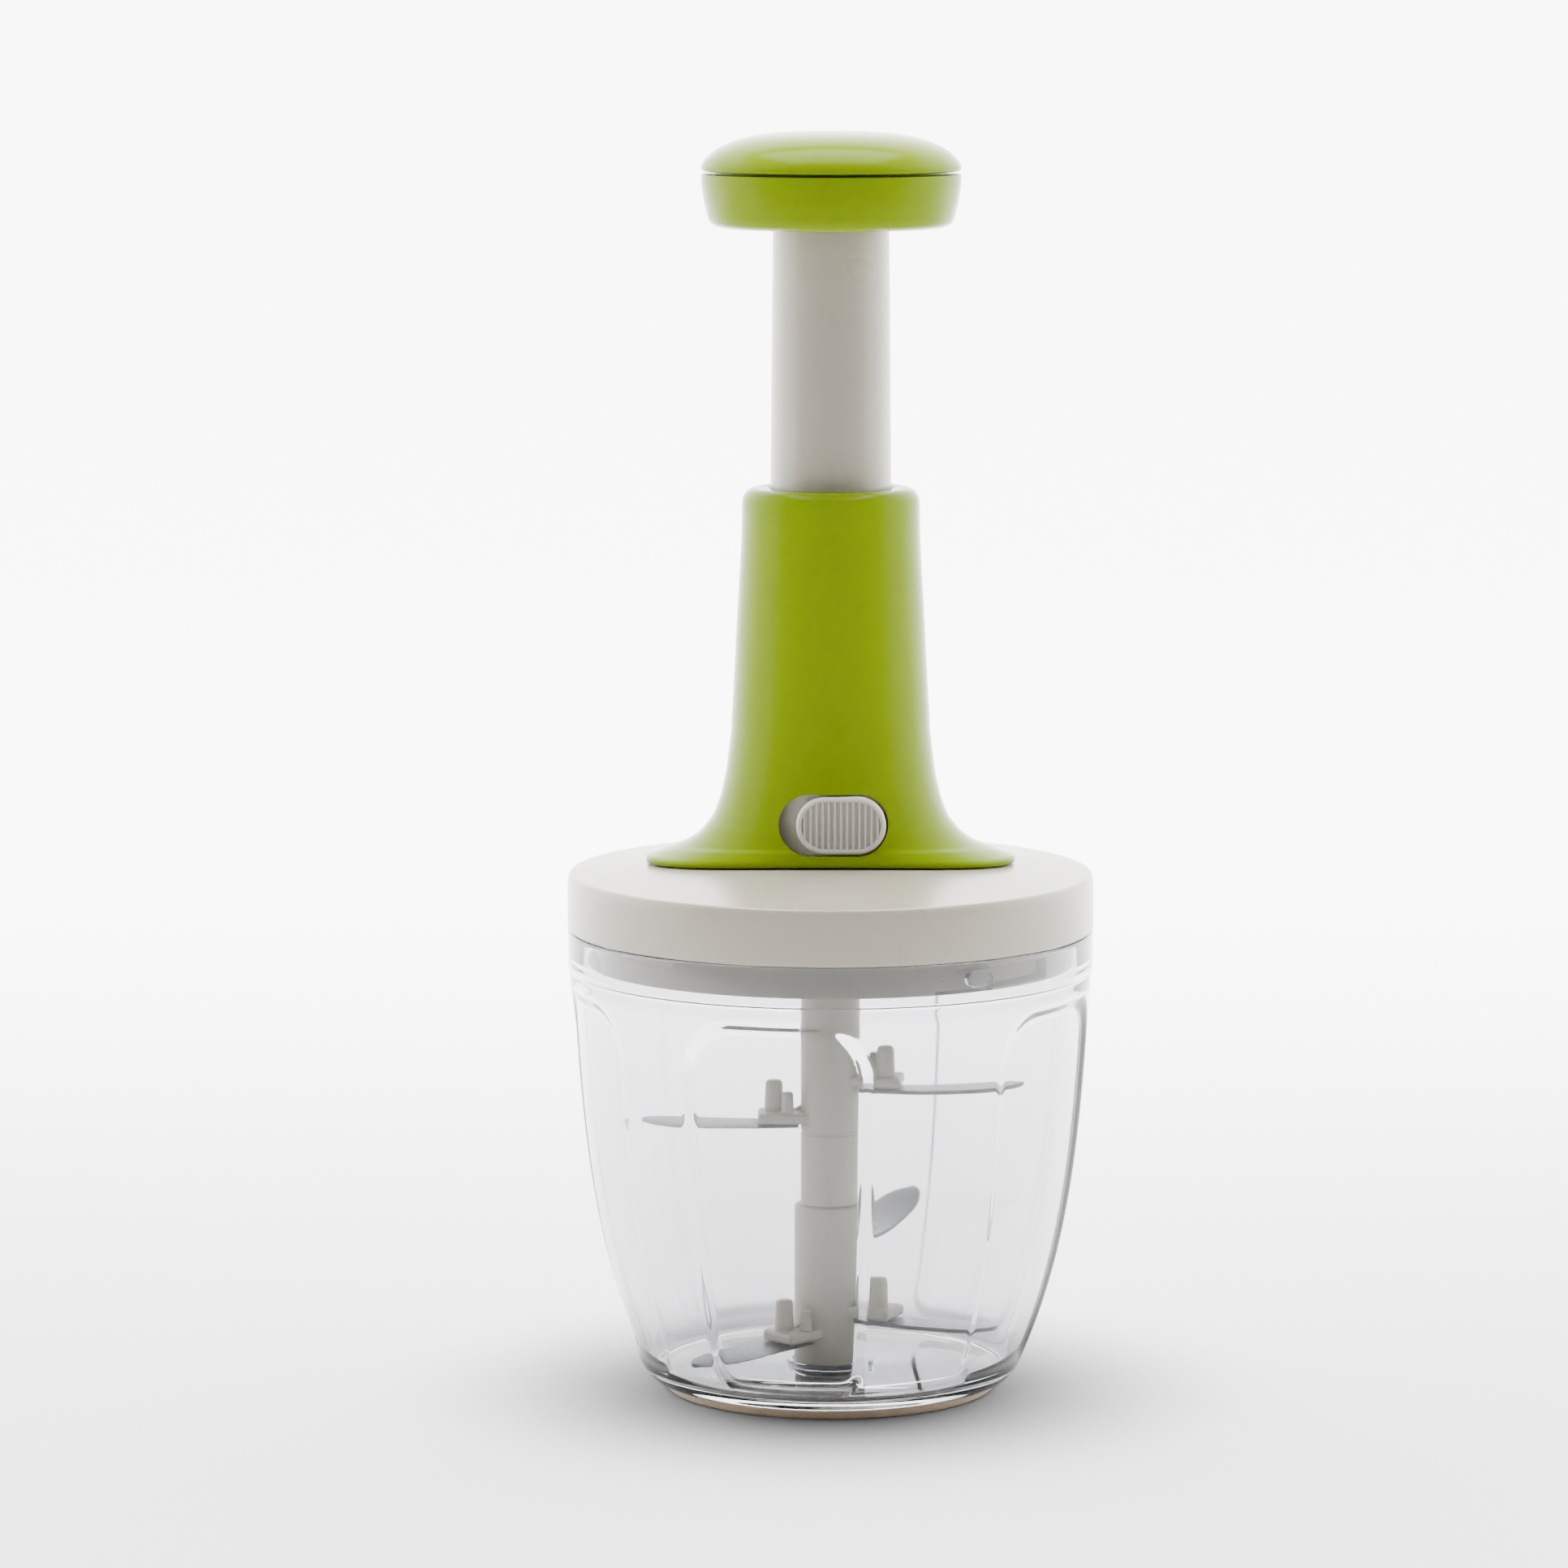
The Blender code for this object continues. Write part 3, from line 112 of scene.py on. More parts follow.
def noise(tree, scale, detail=3.0, stretch=(1, 1, 1)):
    """Noise in object space, with its features this many per metre."""
    where = tree.nodes.new("ShaderNodeTexCoord")
    mapping = tree.nodes.new("ShaderNodeMapping")
    mapping.inputs["Scale"].default_value = stretch
    texture = tree.nodes.new("ShaderNodeTexNoise")
    texture.inputs["Scale"].default_value = scale
    texture.inputs["Detail"].default_value = detail
    tree.links.new(where.outputs["Object"], mapping.inputs["Vector"])
    tree.links.new(mapping.outputs["Vector"], texture.inputs["Vector"])
    return texture.outputs["Fac"]


def ranged(tree, value, low, high):
    """Spreads the middle of a noise over a range."""
    node = tree.nodes.new("ShaderNodeMapRange")
    node.inputs["From Min"].default_value = 0.3
    node.inputs["From Max"].default_value = 0.7
    node.inputs["To Min"].default_value = low
    node.inputs["To Max"].default_value = high
    tree.links.new(value, node.inputs["Value"])
    return node.outputs["Result"]


def blended(tree, share, first, second):
    """A colour between two, by a share."""
    node = tree.nodes.new("ShaderNodeMix")
    node.data_type = "RGBA"
    node.inputs["A"].default_value = (*first, 1)
    node.inputs["B"].default_value = (*second, 1)
    tree.links.new(share, node.inputs["Factor"])
    return node.outputs["Result"]


def bumped(tree, shader, height, strength, distance):
    """A bump on a shader's surface, its distance in metres."""
    node = tree.nodes.new("ShaderNodeBump")
    node.inputs["Strength"].default_value = strength
    node.inputs["Distance"].default_value = distance
    tree.links.new(height, node.inputs["Height"])
    tree.links.new(node.outputs["Normal"], shader.inputs["Normal"])


def shade(colour, factor):
    return tuple(min(1.0, part * factor) for part in colour)


def moulded(name, colour, rough, gloss, grain):
    """Moulded plastic: faint mottling, slightly uneven gloss and a gentle waviness."""
    made, tree, shader = node_material(name)
    mottle = noise(tree, 18.0, 1.0)
    tint = blended(tree, mottle, shade(colour, 0.985), shade(colour, 1.015))
    tree.links.new(tint, shader.inputs["Base Color"])
    roughness = ranged(tree, noise(tree, 40.0, 1.0), rough * 0.97, rough * 1.04)
    tree.links.new(roughness, shader.inputs["Roughness"])
    shader.inputs["IOR"].default_value = 1.5
    shader.inputs["Specular IOR Level"].default_value = gloss
    bumped(tree, shader, noise(tree, 260.0, 0.0), grain, 0.00003)
    return made


def clear_plastic(name, tint):
    """Clear plastic. Lamps shine through it, so that what is inside stays lit."""
    made, tree, shader = node_material(name)
    shader.inputs["Base Color"].default_value = (*tint, 1)
    shader.inputs["Transmission Weight"].default_value = 1.0
    shader.inputs["IOR"].default_value = 1.5
    tree.links.new(ranged(tree, noise(tree, 90.0), 0.01, 0.05), shader.inputs["Roughness"])
    bumped(tree, shader, noise(tree, 35.0, 2.0), 0.12, 0.0002)
    path = tree.nodes.new("ShaderNodeLightPath")
    through = tree.nodes.new("ShaderNodeBsdfTransparent")
    through.inputs["Color"].default_value = (0.97, 0.975, 0.985, 1)
    mix = tree.nodes.new("ShaderNodeMixShader")
    tree.links.new(path.outputs["Is Shadow Ray"], mix.inputs["Fac"])
    tree.links.new(shader.outputs["BSDF"], mix.inputs[1])
    tree.links.new(through.outputs["BSDF"], mix.inputs[2])
    tree.links.new(mix.outputs["Shader"], tree.nodes["Material Output"].inputs["Surface"])
    return made


def brushed(name, colour, rough, stretch=(1, 1, 1)):
    """Stainless steel with fine grinding lines."""
    made, tree, shader = node_material(name)
    lines = noise(tree, 900.0, 2.0, stretch)
    tint = blended(tree, lines, shade(colour, 0.85), shade(colour, 1.1))
    tree.links.new(tint, shader.inputs["Base Color"])
    tree.links.new(ranged(tree, lines, rough * 0.8, rough * 1.3), shader.inputs["Roughness"])
    shader.inputs["Metallic"].default_value = 1.0
    bumped(tree, shader, lines, 0.2, 0.00003)
    return made


def rubbery(name, colour, rough):
    """Soft rubber: matte, with a pebbled skin."""
    made, tree, shader = node_material(name)
    mottle = noise(tree, 150.0, 4.0)
    tint = blended(tree, mottle, shade(colour, 0.88), shade(colour, 1.07))
    tree.links.new(tint, shader.inputs["Base Color"])
    roughness = ranged(tree, mottle, rough * 0.9, min(1.0, rough * 1.15))
    tree.links.new(roughness, shader.inputs["Roughness"])
    shader.inputs["Sheen Weight"].default_value = 0.15
    bumped(tree, shader, noise(tree, 900.0, 3.0), 0.5, 0.00015)
    return made


GREEN = moulded("green_plastic", (0.155, 0.228, 0.000), 0.20, gloss=0.05, grain=0.03)
WHITE = moulded("white_plastic", (0.335, 0.303, 0.245), 0.28, gloss=0.5, grain=0.05)
SLIDER = moulded("slider_plastic", (0.540, 0.520, 0.460), 0.32, gloss=0.45, grain=0.05)
IVORY = moulded("ivory_plastic", (0.420, 0.385, 0.295), 0.42, gloss=0.3, grain=0.08)
NYLON = moulded("natural_nylon", (0.480, 0.470, 0.420), 0.5, gloss=0.3, grain=0.1)
CLEAR = clear_plastic("clear_plastic", (0.715, 0.718, 0.738))
BEIGE = rubbery("beige_rubber", (0.480, 0.365, 0.245), 0.72)
SILICONE = rubbery("silicone", (0.780, 0.780, 0.760), 0.55)
BLADE_STEEL = brushed("blade_steel", (0.075, 0.076, 0.084), 0.36, (1, 1, 6))
SCREW_STEEL = brushed("screw_steel", (0.620, 0.620, 0.600), 0.3)
SPRING_STEEL = brushed("spring_steel", (0.480, 0.480, 0.500), 0.32)


# ---------------------------------------------------------------- shapes

def around(radius, angle, z):
    """The point at a radius, an angle and a height."""
    return radius * math.cos(angle), radius * math.sin(angle), z


def round_place(point, angle):
    return around(point[0], angle, point[1])


def turned(outline, segments=ROUND, place=round_place):
    """A closed outline turned about Z. A point with radius 0 becomes one vertex."""
    bm = bmesh.new()
    rings = []
    for point in outline:
        if point[0] == 0:
            rings.append([bm.verts.new(place(point, 0.0))] * segments)
            continue
        angles = [2 * math.pi * step / segments for step in range(segments)]
        rings.append([bm.verts.new(place(point, angle)) for angle in angles])
    for low, high in zip(rings, rings[1:] + rings[:1]):
        for step in range(segments):
            after = (step + 1) % segments
            unique = list(dict.fromkeys((low[step], low[after], high[after], high[step])))
            if len(unique) > 2:
                bm.faces.new(unique)
    return bm


def softened(corners, steps=5):
    """Rounds the corners of a closed outline.

    Each corner is (radius, height) or (radius, height, fillet).
    """
    points = []
    neighbours = zip(corners[-1:] + corners[:-1], corners, corners[1:] + corners[:1])
    for before, corner, after in neighbours:
        here = Vector(corner[:2])
        fillet = corner[2] if len(corner) > 2 else 0.0
        if not fillet:
            points.append(tuple(here))
            continue
        back, on = Vector(before[:2]) - here, Vector(after[:2]) - here
        start = here + back.normalized() * min(fillet, back.length * 0.49)
        end = here + on.normalized() * min(fillet, on.length * 0.49)
        for step in range(steps + 1):
            share = step / steps
            bend = (1 - share) ** 2 * start + 2 * share * (1 - share) * here + share ** 2 * end
            points.append(tuple(bend))
    return points


def flowing(points, steps=6):
    """A smooth curve through the points of an open outline."""
    curve = []
    ends = [points[0]] + list(points) + [points[-1]]
    for a, b, c, d in zip(ends, ends[1:], ends[2:], ends[3:]):
        for step in range(steps):
            t = step / steps
            curve.append(tuple(
                0.5 * (2 * q + (r - p) * t + (2 * p - 5 * q + 4 * r - s) * t * t
                       + (3 * q - p - 3 * r + s) * t ** 3)
                for p, q, r, s in zip(a, b, c, d)))
    curve.append(tuple(points[-1]))
    return curve


def block(low, high):
    """A box between two corners."""
    bm = bmesh.new()
    bmesh.ops.create_cube(bm, size=1.0)
    size = Vector(high) - Vector(low)
    bmesh.ops.scale(bm, vec=size, verts=bm.verts)
    bmesh.ops.translate(bm, vec=(Vector(high) + Vector(low)) / 2, verts=bm.verts)
    return bm


def lofted(rings):
    """A closed skin over rings with the same number of points, flat at both ends."""
    bm = bmesh.new()
    rows = [[bm.verts.new(point) for point in ring] for ring in rings]
    count = len(rows[0])
    for before, after in zip(rows, rows[1:]):
        for side in range(count):
            other = (side + 1) % count
            bm.faces.new((before[side], before[other], after[other], after[side]))
    bm.faces.new(rows[0])
    bm.faces.new(rows[-1])
    return bm


def spun(bm, direction):
    """Turn a shape about Z, in degrees."""
    bmesh.ops.rotate(bm, matrix=Matrix.Rotation(math.radians(direction), 3, "Z"), verts=bm.verts)
    return bm


def placed(name, bm, material, crease=40):
    """An object made from a shape in millimetres."""
    bmesh.ops.recalc_face_normals(bm, faces=bm.faces)
    bmesh.ops.scale(bm, vec=(MM, MM, MM), verts=bm.verts)
    mesh = bpy.data.meshes.new(name)
    bm.to_mesh(mesh)
    bm.free()
    mesh.shade_smooth()
    mesh.set_sharp_from_angle(angle=math.radians(crease))
    mesh.materials.append(material)
    obj = bpy.data.objects.new(name, mesh)
    bpy.context.scene.collection.objects.link(obj)
    return obj


def piece(name, bm, material, body, replaces=(), crease=40):
    """An object that rides on a body and takes the material it is given."""
    obj = placed(name, bm, material, crease)
    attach(obj, body)
    if replaces:
        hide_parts(*replaces)
    return obj


def bevelled(obj, width, segments=3):
    """Round the edges of a piece."""
    change = obj.modifiers.new("bevel", "BEVEL")
    change.width = width * MM
    change.segments = segments
    change.limit_method = "ANGLE"
    change.angle_limit = math.radians(35)


def carved(obj, bm, name):
    """Cut a shape away, apply the cut and remove the cutter."""
    cutter = placed(name, bm, NYLON)
    change = obj.modifiers.new(name, "BOOLEAN")
    change.operation = "DIFFERENCE"
    change.solver = "EXACT"
    change.object = cutter
    bpy.context.view_layer.update()
    graph = bpy.context.evaluated_depsgraph_get()
    result = bpy.data.meshes.new_from_object(obj.evaluated_get(graph))
    obj.modifiers.clear()
    obj.data = result
    bpy.data.objects.remove(cutter)


# ---------------------------------------------------------------- bowl

def bowl_radius(z):
    """Outer radius of the bowl's side."""
    below = 1 - min(max((z - BOWL_LOW) / (RIM - BOWL_LOW - BAND), 0.0), 1.0)
    return RADIUS - BAND_STEP - 6.0 * below - 12.9 * below ** 3.3


def step_share(value):
    """A smooth step from 0 to 1."""
    value = min(max(value, 0.0), 1.0)
    return value * value * (3 - 2 * value)


def turn_between(first, second):
    """The turn from one angle to another, between minus and plus half a turn."""
    return (second - first + math.pi) % (2 * math.pi) - math.pi


def flute_share(z, angle):
    """1 inside an arch-topped panel of the bowl's side, 0 outside, with a narrow slope between."""
    offset = min(abs(turn_between(centre, angle)) for centre in FLUTES)
    across = offset * bowl_radius(z)
    half_width = FLUTE_SPAN / 2 * bowl_radius(z)
    middle = BOWL_LOW + (FLUTE_LOW + FLUTE_HIGH) / 2
    half_height = (FLUTE_HIGH - FLUTE_LOW) / 2
    corner = FLUTE_TOP_CORNER if z > middle else FLUTE_LOW_CORNER
    past_x = across - half_width + corner
    past_z = abs(z - middle) - half_height + corner
    distance = math.hypot(max(past_x, 0.0), max(past_z, 0.0)) + min(max(past_x, past_z), 0.0) - corner
    ramp = min(max(0.5 - distance / FLUTE_RAMP, 0.0), 1.0)
    return 0.65 * ramp + 0.35 * step_share(ramp)


def bowl_place(point, angle):
    """Points marked by a third value lie on the outside, which has the panels."""
    radius, z = point[:2]
    if len(point) > 2:
        radius -= FLUTE_DEPTH * flute_share(z, angle)
    return around(radius, angle, z)


def make_bowl():
    """Clear bowl: panels round the outside, an upright rim band, a pivot pin and bayonet lugs."""
    low = BOWL_LOW
    side_low, side_top = low + 2.4, RIM - BAND
    inner_rim = RADIUS - WALL
    floor, pin_top = low + 2.2, low + 2.2 + 13.5
    ring_low, ring_high = 34.5, 42.5
    steps = 150
    heights = [side_low + (side_top - low - 2.4) * step / steps for step in range(steps + 1)]
    outer = [(bowl_radius(z), z, True) for z in heights]
    base = softened([
        (0, low), (34, low), (ring_low, low + 0.5), (ring_high, low + 0.5), (ring_high, low, 0.2),
        (bowl_radius(side_low) - 1.9, low, 1.5), (bowl_radius(side_low), side_low)])[:-1]
    band = softened([
        (bowl_radius(side_top), side_top), (RADIUS, side_top + 0.5, 0.3), (RADIUS, RIM, 0.9),
        (inner_rim, RIM, 0.9), (inner_rim, side_top)])[1:]
    inner = [(bowl_radius(z) - WALL, z) for z in heights[3::4][::-1]]
    inner += softened([
        inner[-1], (43.5, floor + 0.6, 2.0), (40, floor, 2.0), (HUB_BORE, floor, 0.3), (HUB_BORE, 6.6, 0.5),
        (9.4, 6.6, 0.4), (9.4, floor, 0.3), (3.0, floor, 0.3), (3.0, pin_top, 1.0), (0, pin_top)])[1:]
    bm = turned(base + outer + band + inner, BOWL_FACETS, bowl_place)
    piece("bowl_shell", bm, CLEAR, "bowl", ["bowl"], 60)
    for count in range(LUGS):
        make_lug("bowl_lug_" + str(count + 1), LUG_ANGLE + 2 * math.pi * count / LUGS)


def make_lug(name, middle):
    """An oval clear lug on the inside of the rim."""
    rings = []
    centre_z = RIM - 4.7
    for share, size in ((0.0, 1.0), (0.6, 1.0), (0.9, 0.93), (1.0, 0.8)):
        radius = RADIUS - WALL - 0.05 - 2.3 * share
        ring = []
        for step in range(32):
            turn = 2 * math.pi * step / 32
            along = LUG_LENGTH * size * math.copysign(abs(math.cos(turn)) ** 0.8, math.cos(turn))
            up = 2.0 * size * math.copysign(abs(math.sin(turn)) ** 0.8, math.sin(turn))
            angle = middle + along / (RADIUS - WALL)
            ring.append(around(radius, angle, centre_z + up))
        rings.append(ring)
    piece(name, lofted(rings), CLEAR, "bowl", crease=50)


def make_base_ring():
    """Beige ring of soft plastic under the bowl."""
    outline = softened([(33.8, 0.0, 0.5), (41.0, 0.0, 0.7), (42.3, 2.6, 0.5), (33.8, 2.6, 0.3)])
    piece("anti_slip_foot", turned(outline, ROUND), BEIGE, "bowl", ["anti_slip_ring"])


# ---------------------------------------------------------------- lid

LID_LOW = RIM + 0.3
SHOULDER = LID_LOW + 11.2
EDGE_TOP = SHOULDER + 2.6
SKIRT_RADIUS = RADIUS - WALL - 1.2
FLAT_RADIUS = 25.0
GROOVE_DEPTH = 2.1
ENTRY = math.radians(14.7)     # width of a groove's entry
LOCKED = math.radians(18.0)    # length of a groove's track past its entry


def lid_height(radius):
    """Height of the lid's top, which is flat in the middle and slopes to the edge."""
    edge = RADIUS - 2
    rise = (LID_TOP - EDGE_TOP) * (edge - max(radius, FLAT_RADIUS))
    return EDGE_TOP + rise / (edge - FLAT_RADIUS)


def groove_share(angle, z):
    """1 in the bayonet grooves of the lid's skirt: an entry from below and a track to the right."""
    clearance = 0.5 / SKIRT_RADIUS
    edge = 0.35 / SKIRT_RADIUS
    deep = 0.0
    for count in range(LUGS):
        middle = LUG_ANGLE + 2 * math.pi * count / LUGS
        entry_end = LUG_LENGTH / SKIRT_RADIUS + clearance
        offset = turn_between(middle, angle)
        left = offset - (entry_end - ENTRY) - 0.06 * step_share((z - SKIRT_LOW) / 6.0)
        entry = step_share(left / edge) * step_share((entry_end - offset) / edge)
        track = step_share((offset + clearance) / edge) * step_share((entry_end + LOCKED - offset) / edge)
        track *= step_share((z - (RIM - 7.0)) / 0.4)
        deep = max(deep, entry, track)
    return deep * step_share((RIM - 2.2 - z) / 0.4)


def lid_place(point, angle):
    """Points marked by a third value lie on the skirt, which has the grooves."""
    radius, z = point[:2]
    if len(point) > 2:
        radius -= GROOVE_DEPTH * groove_share(angle, z)
    return around(radius, angle, z)


def make_lid():
    """White lid: a skirt with bayonet grooves, a channel for the gasket and a neck."""
    channel = LID_LOW + 2.6
    wall_inner = RADIUS - WALL + 0.7
    under = LID_TOP - 2.6
    inner = SKIRT_RADIUS - 2.8
    skirt = [(SKIRT_RADIUS, SKIRT_LOW + 0.4 + 0.35 * step, True) for step in range(27)]
    neck_low, neck_radius = under - 18.0, 13.2
    upper = softened([
        (SKIRT_RADIUS, channel), (wall_inner, channel), (wall_inner, LID_LOW, 0.3), (RADIUS, LID_LOW, 0.4),
        (RADIUS, SHOULDER + 2.4, 3.0), (RADIUS - 2.4, EDGE_TOP + 0.05, 0.8), (FLAT_RADIUS, LID_TOP, 6.0),
        (HUB_BORE, LID_TOP, 0.3), (HUB_BORE, neck_low, 0.3), (neck_radius, neck_low, 0.4),
        (neck_radius, under, 1.5), (FLAT_RADIUS, under, 4.0), (inner, EDGE_TOP - 2.3, 1.5),
        (inner, SKIRT_LOW, 0.5)], 6)
    outline = [(SKIRT_RADIUS - 0.4, SKIRT_LOW)] + skirt + upper
    piece("lid_shell", turned(outline, LID_FACETS, lid_place), WHITE, "lid", ["lid"], 30)


# ---------------------------------------------------------------- handle

WAIST_DEPTH = 23.7             # half depth of the handle above its foot
SCREW_HOLE = 1.5               # radius of the hole for the knob's screw
SLOT_X, SLOT_Z = 0.55, LID_TOP + 10.5
SLOT_WIDTH, SLOT_HEIGHT = 26.7, 15.1


def housing_y(x_radius, z):
    """Half depth of the handle where its half width is x_radius."""
    waist = HOUSING_TOP - 44.5
    front = WAIST_DEPTH
    if z < waist:
        front += (FOOT_Y - WAIST_DEPTH) * ((waist - z) / (waist - LID_TOP)) ** 2
    return min(x_radius, front)


def housing_place(point, angle):
    """An oval section, its foot kept a little above the lid."""
    x_radius, y_radius, z, above = point
    x, y = x_radius * math.cos(angle), y_radius * math.sin(angle)
    return x, y, max(z, lid_height(math.hypot(x, y)) + above)


def stadium(width, height, steps=24):
    """An outline with straight sides and round ends."""
    radius = height / 2
    straight = width / 2 - radius
    points = []
    for side, turn in ((1, -math.pi / 2), (-1, math.pi / 2)):
        for step in range(steps + 1):
            angle = turn + math.pi * step / steps
            points.append((side * straight + radius * math.cos(angle), radius * math.sin(angle)))
    return points


def standing(outline, x, z, front, back):
    """Rings of an outline that stands upright, from its front face to its back face."""
    return [[(x + along, y, z + up) for along, up in outline] for y in (front, back)]


def make_housing():
    """Green handle: a round top, a wide foot that follows the lid, and the slot of the slider."""
    low = LID_TOP - 0.9
    wall = 2.2
    flare = FOOT_X - 22.0
    foot = [(1.0, 0.5), (0.97, 1.05), (0.88, 1.7), (0.78, 2.6), (0.685, 3.4), (0.555, 4.75), (0.44, 6.7),
            (0.36, 8.9), (0.297, 11.0), (0.231, 14.9), (0.19, 18.8), (0.157, 22.7)]
    profile = [(22.0 + flare * share, low + lift) for share, lift in foot]
    profile += [(24.6, 164.0), (24.4, 168.0), (23.7, 180.0), (23.1, 192.0), (22.4, 204.0), (22.0, 212.0),
                (21.85, HOUSING_TOP - 4.0)]
    side = flowing(profile, 5)
    outer = [(FOOT_X - 0.9, FOOT_Y - 0.9, 0.0, 0.35), (FOOT_X - 0.3, FOOT_Y - 0.3, 0.0, 0.45),
             (FOOT_X, FOOT_Y, 0.0, 0.8)]
    outer += [(x, housing_y(x, z), z, 1.2 + 0.13 * count) for count, (x, z) in enumerate(side)]
    crown, crown_round, crown_steps = 21.8, 3.6, 8
    for step in range(1, crown_steps + 1):
        turn = math.pi / 2 * step / crown_steps
        radius = crown - crown_round * (1 - math.cos(turn))
        outer.append((radius, radius, HOUSING_TOP - crown_round * (1 - math.sin(turn)), 0.0))
    bore = 15.3
    outer += [(bore + 0.4, bore + 0.4, HOUSING_TOP, 0.0), (bore, bore, HOUSING_TOP - 0.4, 0.0),
              (bore, bore, HOUSING_TOP - wall, 0.0)]
    inner = [(x - wall, housing_y(x, z) - wall, z, 0.3) for x, z in side if z > LID_TOP + 9]
    inner = [(inner[0][0] + 1.0, inner[0][1], 0.0, 0.35), *inner]
    inner.append((crown - wall, crown - wall, HOUSING_TOP - wall, 0.0))
    housing = piece("housing_shell", turned(outer + inner[::-1], ROUND, housing_place), GREEN, "lid",
                    ["press_housing"], 50)
    carved(housing, lofted(standing(stadium(SLOT_WIDTH, SLOT_HEIGHT), SLOT_X, SLOT_Z, -40, -14)), "slot")
    housing.data.shade_smooth()
    housing.data.set_sharp_from_angle(angle=math.radians(50))


def curved_plate(inner, outer, low, high):
    """A plate bent round the axis behind the slot."""
    steps, start, sweep = 48, -130, 80
    ring = [(inner, low), (outer, low), (outer, high), (inner, high)]
    angles = [math.radians(start + sweep * step / steps) for step in range(steps + 1)]
    return lofted([[around(radius, angle, z) for radius, z in ring] for angle in angles])


def make_track():
    """Curved white plate behind the slot, and a pad on it that fills the slot."""
    bm = curved_plate(19.75, 21.0, LID_TOP + 0.4, SLOT_Z + 9.4)
    plate = piece("track_plate", bm, SLIDER, "lid", ["lock_track"], 40)
    bm = curved_plate(21.1, 22.3, SLOT_Z - SLOT_HEIGHT / 2 - 0.8, SLOT_Z + SLOT_HEIGHT / 2 + 0.8)
    pad = piece("track_pad", bm, SLIDER, "lid", crease=40)
    for obj in (plate, pad):
        carved(obj, block((-5.5, -30, SLOT_Z - 1.2), (4.6, -10, SLOT_Z + 4.4)), "window")


def make_button():
    """Ribbed slider in the slot: a rounded rim with upright ribs in it."""
    width, height = BUTTON_RIGHT - BUTTON_LEFT, BUTTON_HIGH - BUTTON_LOW
    x, z = (BUTTON_LEFT + BUTTON_RIGHT) / 2, (BUTTON_LOW + BUTTON_HIGH) / 2
    face = BUTTON_FACE
    rim = [(0.0, 1.8), (0.0, 0.9), (0.25, 0.35), (0.7, 0.05), (1.0, 0.0), (1.25, 0.1), (1.5, 1.0), (8.0, 1.05)]
    rings = []
    for inset, depth in rim:
        squeeze = min(inset, height / 2 - 0.3)
        ring = stadium(width - 2 * squeeze, height - 2 * squeeze)
        rings.append([(x + along, face + depth, z + up) for along, up in ring])
    piece("slider_button", lofted(rings), SLIDER, "lock", ["lock_button"], 40)
    stem = block((0.0, face + 1.3, SLOT_Z - 0.4), (3.6, -18.95, SLOT_Z + 3.6))
    piece("slider_stem", stem, WHITE, "lock")
    ribs = 13
    pitch = (width - 2.6) / ribs
    for count in range(ribs):
        middle = x + pitch * (count - (ribs - 1) / 2)
        reach = max(abs(middle - x) - (width - height) / 2, 0.0)
        half = math.sqrt((height / 2) ** 2 - reach ** 2) - 1.15
        ring = [(-0.3, 1.2), (-0.26, 0.5), (-0.12, 0.1), (0.12, 0.1), (0.26, 0.5), (0.3, 1.2)]
        rows = [[(middle + along * pitch, face + depth, z + level) for along, depth in ring]
                for level in (-half, half)]
        piece("slider_rib_" + str(count + 1), lofted(rows), SLIDER, "lock", crease=60)


def make_tube():
    """White tube: slightly tapered, with the notch of the lock in its foot and two guide keys."""
    low_radius, top_radius = 14.9, 14.25
    outline = softened([
        (13.1, TUBE_LOW, 0.2), (low_radius, TUBE_LOW, 0.3), (low_radius, HOUSING_TOP - 4), (top_radius, KNOB_LOW),
        (top_radius, TUBE_TOP, 0.3), (SCREW_HOLE, TUBE_TOP), (SCREW_HOLE, KNOB_LOW + 2.9),
        (12.75, KNOB_LOW + 2.9, 0.5)])
    tube = piece("tube_shell", turned(outline, ROUND), WHITE, "plunger", ["plunger_tube"])
    carved(tube, block((-2.35, -20, TUBE_LOW - 1), (5.45, -9, TUBE_LOW + 11.4)), "latch_entry")
    carved(tube, block((-6.55, -20, TUBE_LOW + 5.6), (-0.95, -9, TUBE_LOW + 11.4)), "latch_notch")
    for side, label in ((-1, "left"), (1, "right")):
        low, high = sorted((side * 14.0, side * 16.6))
        bm = block((low, -2, TUBE_LOW), (high, 2, TUBE_LOW + 4))
        bevelled(piece("tube_key_" + label, bm, WHITE, "plunger"), 0.3)


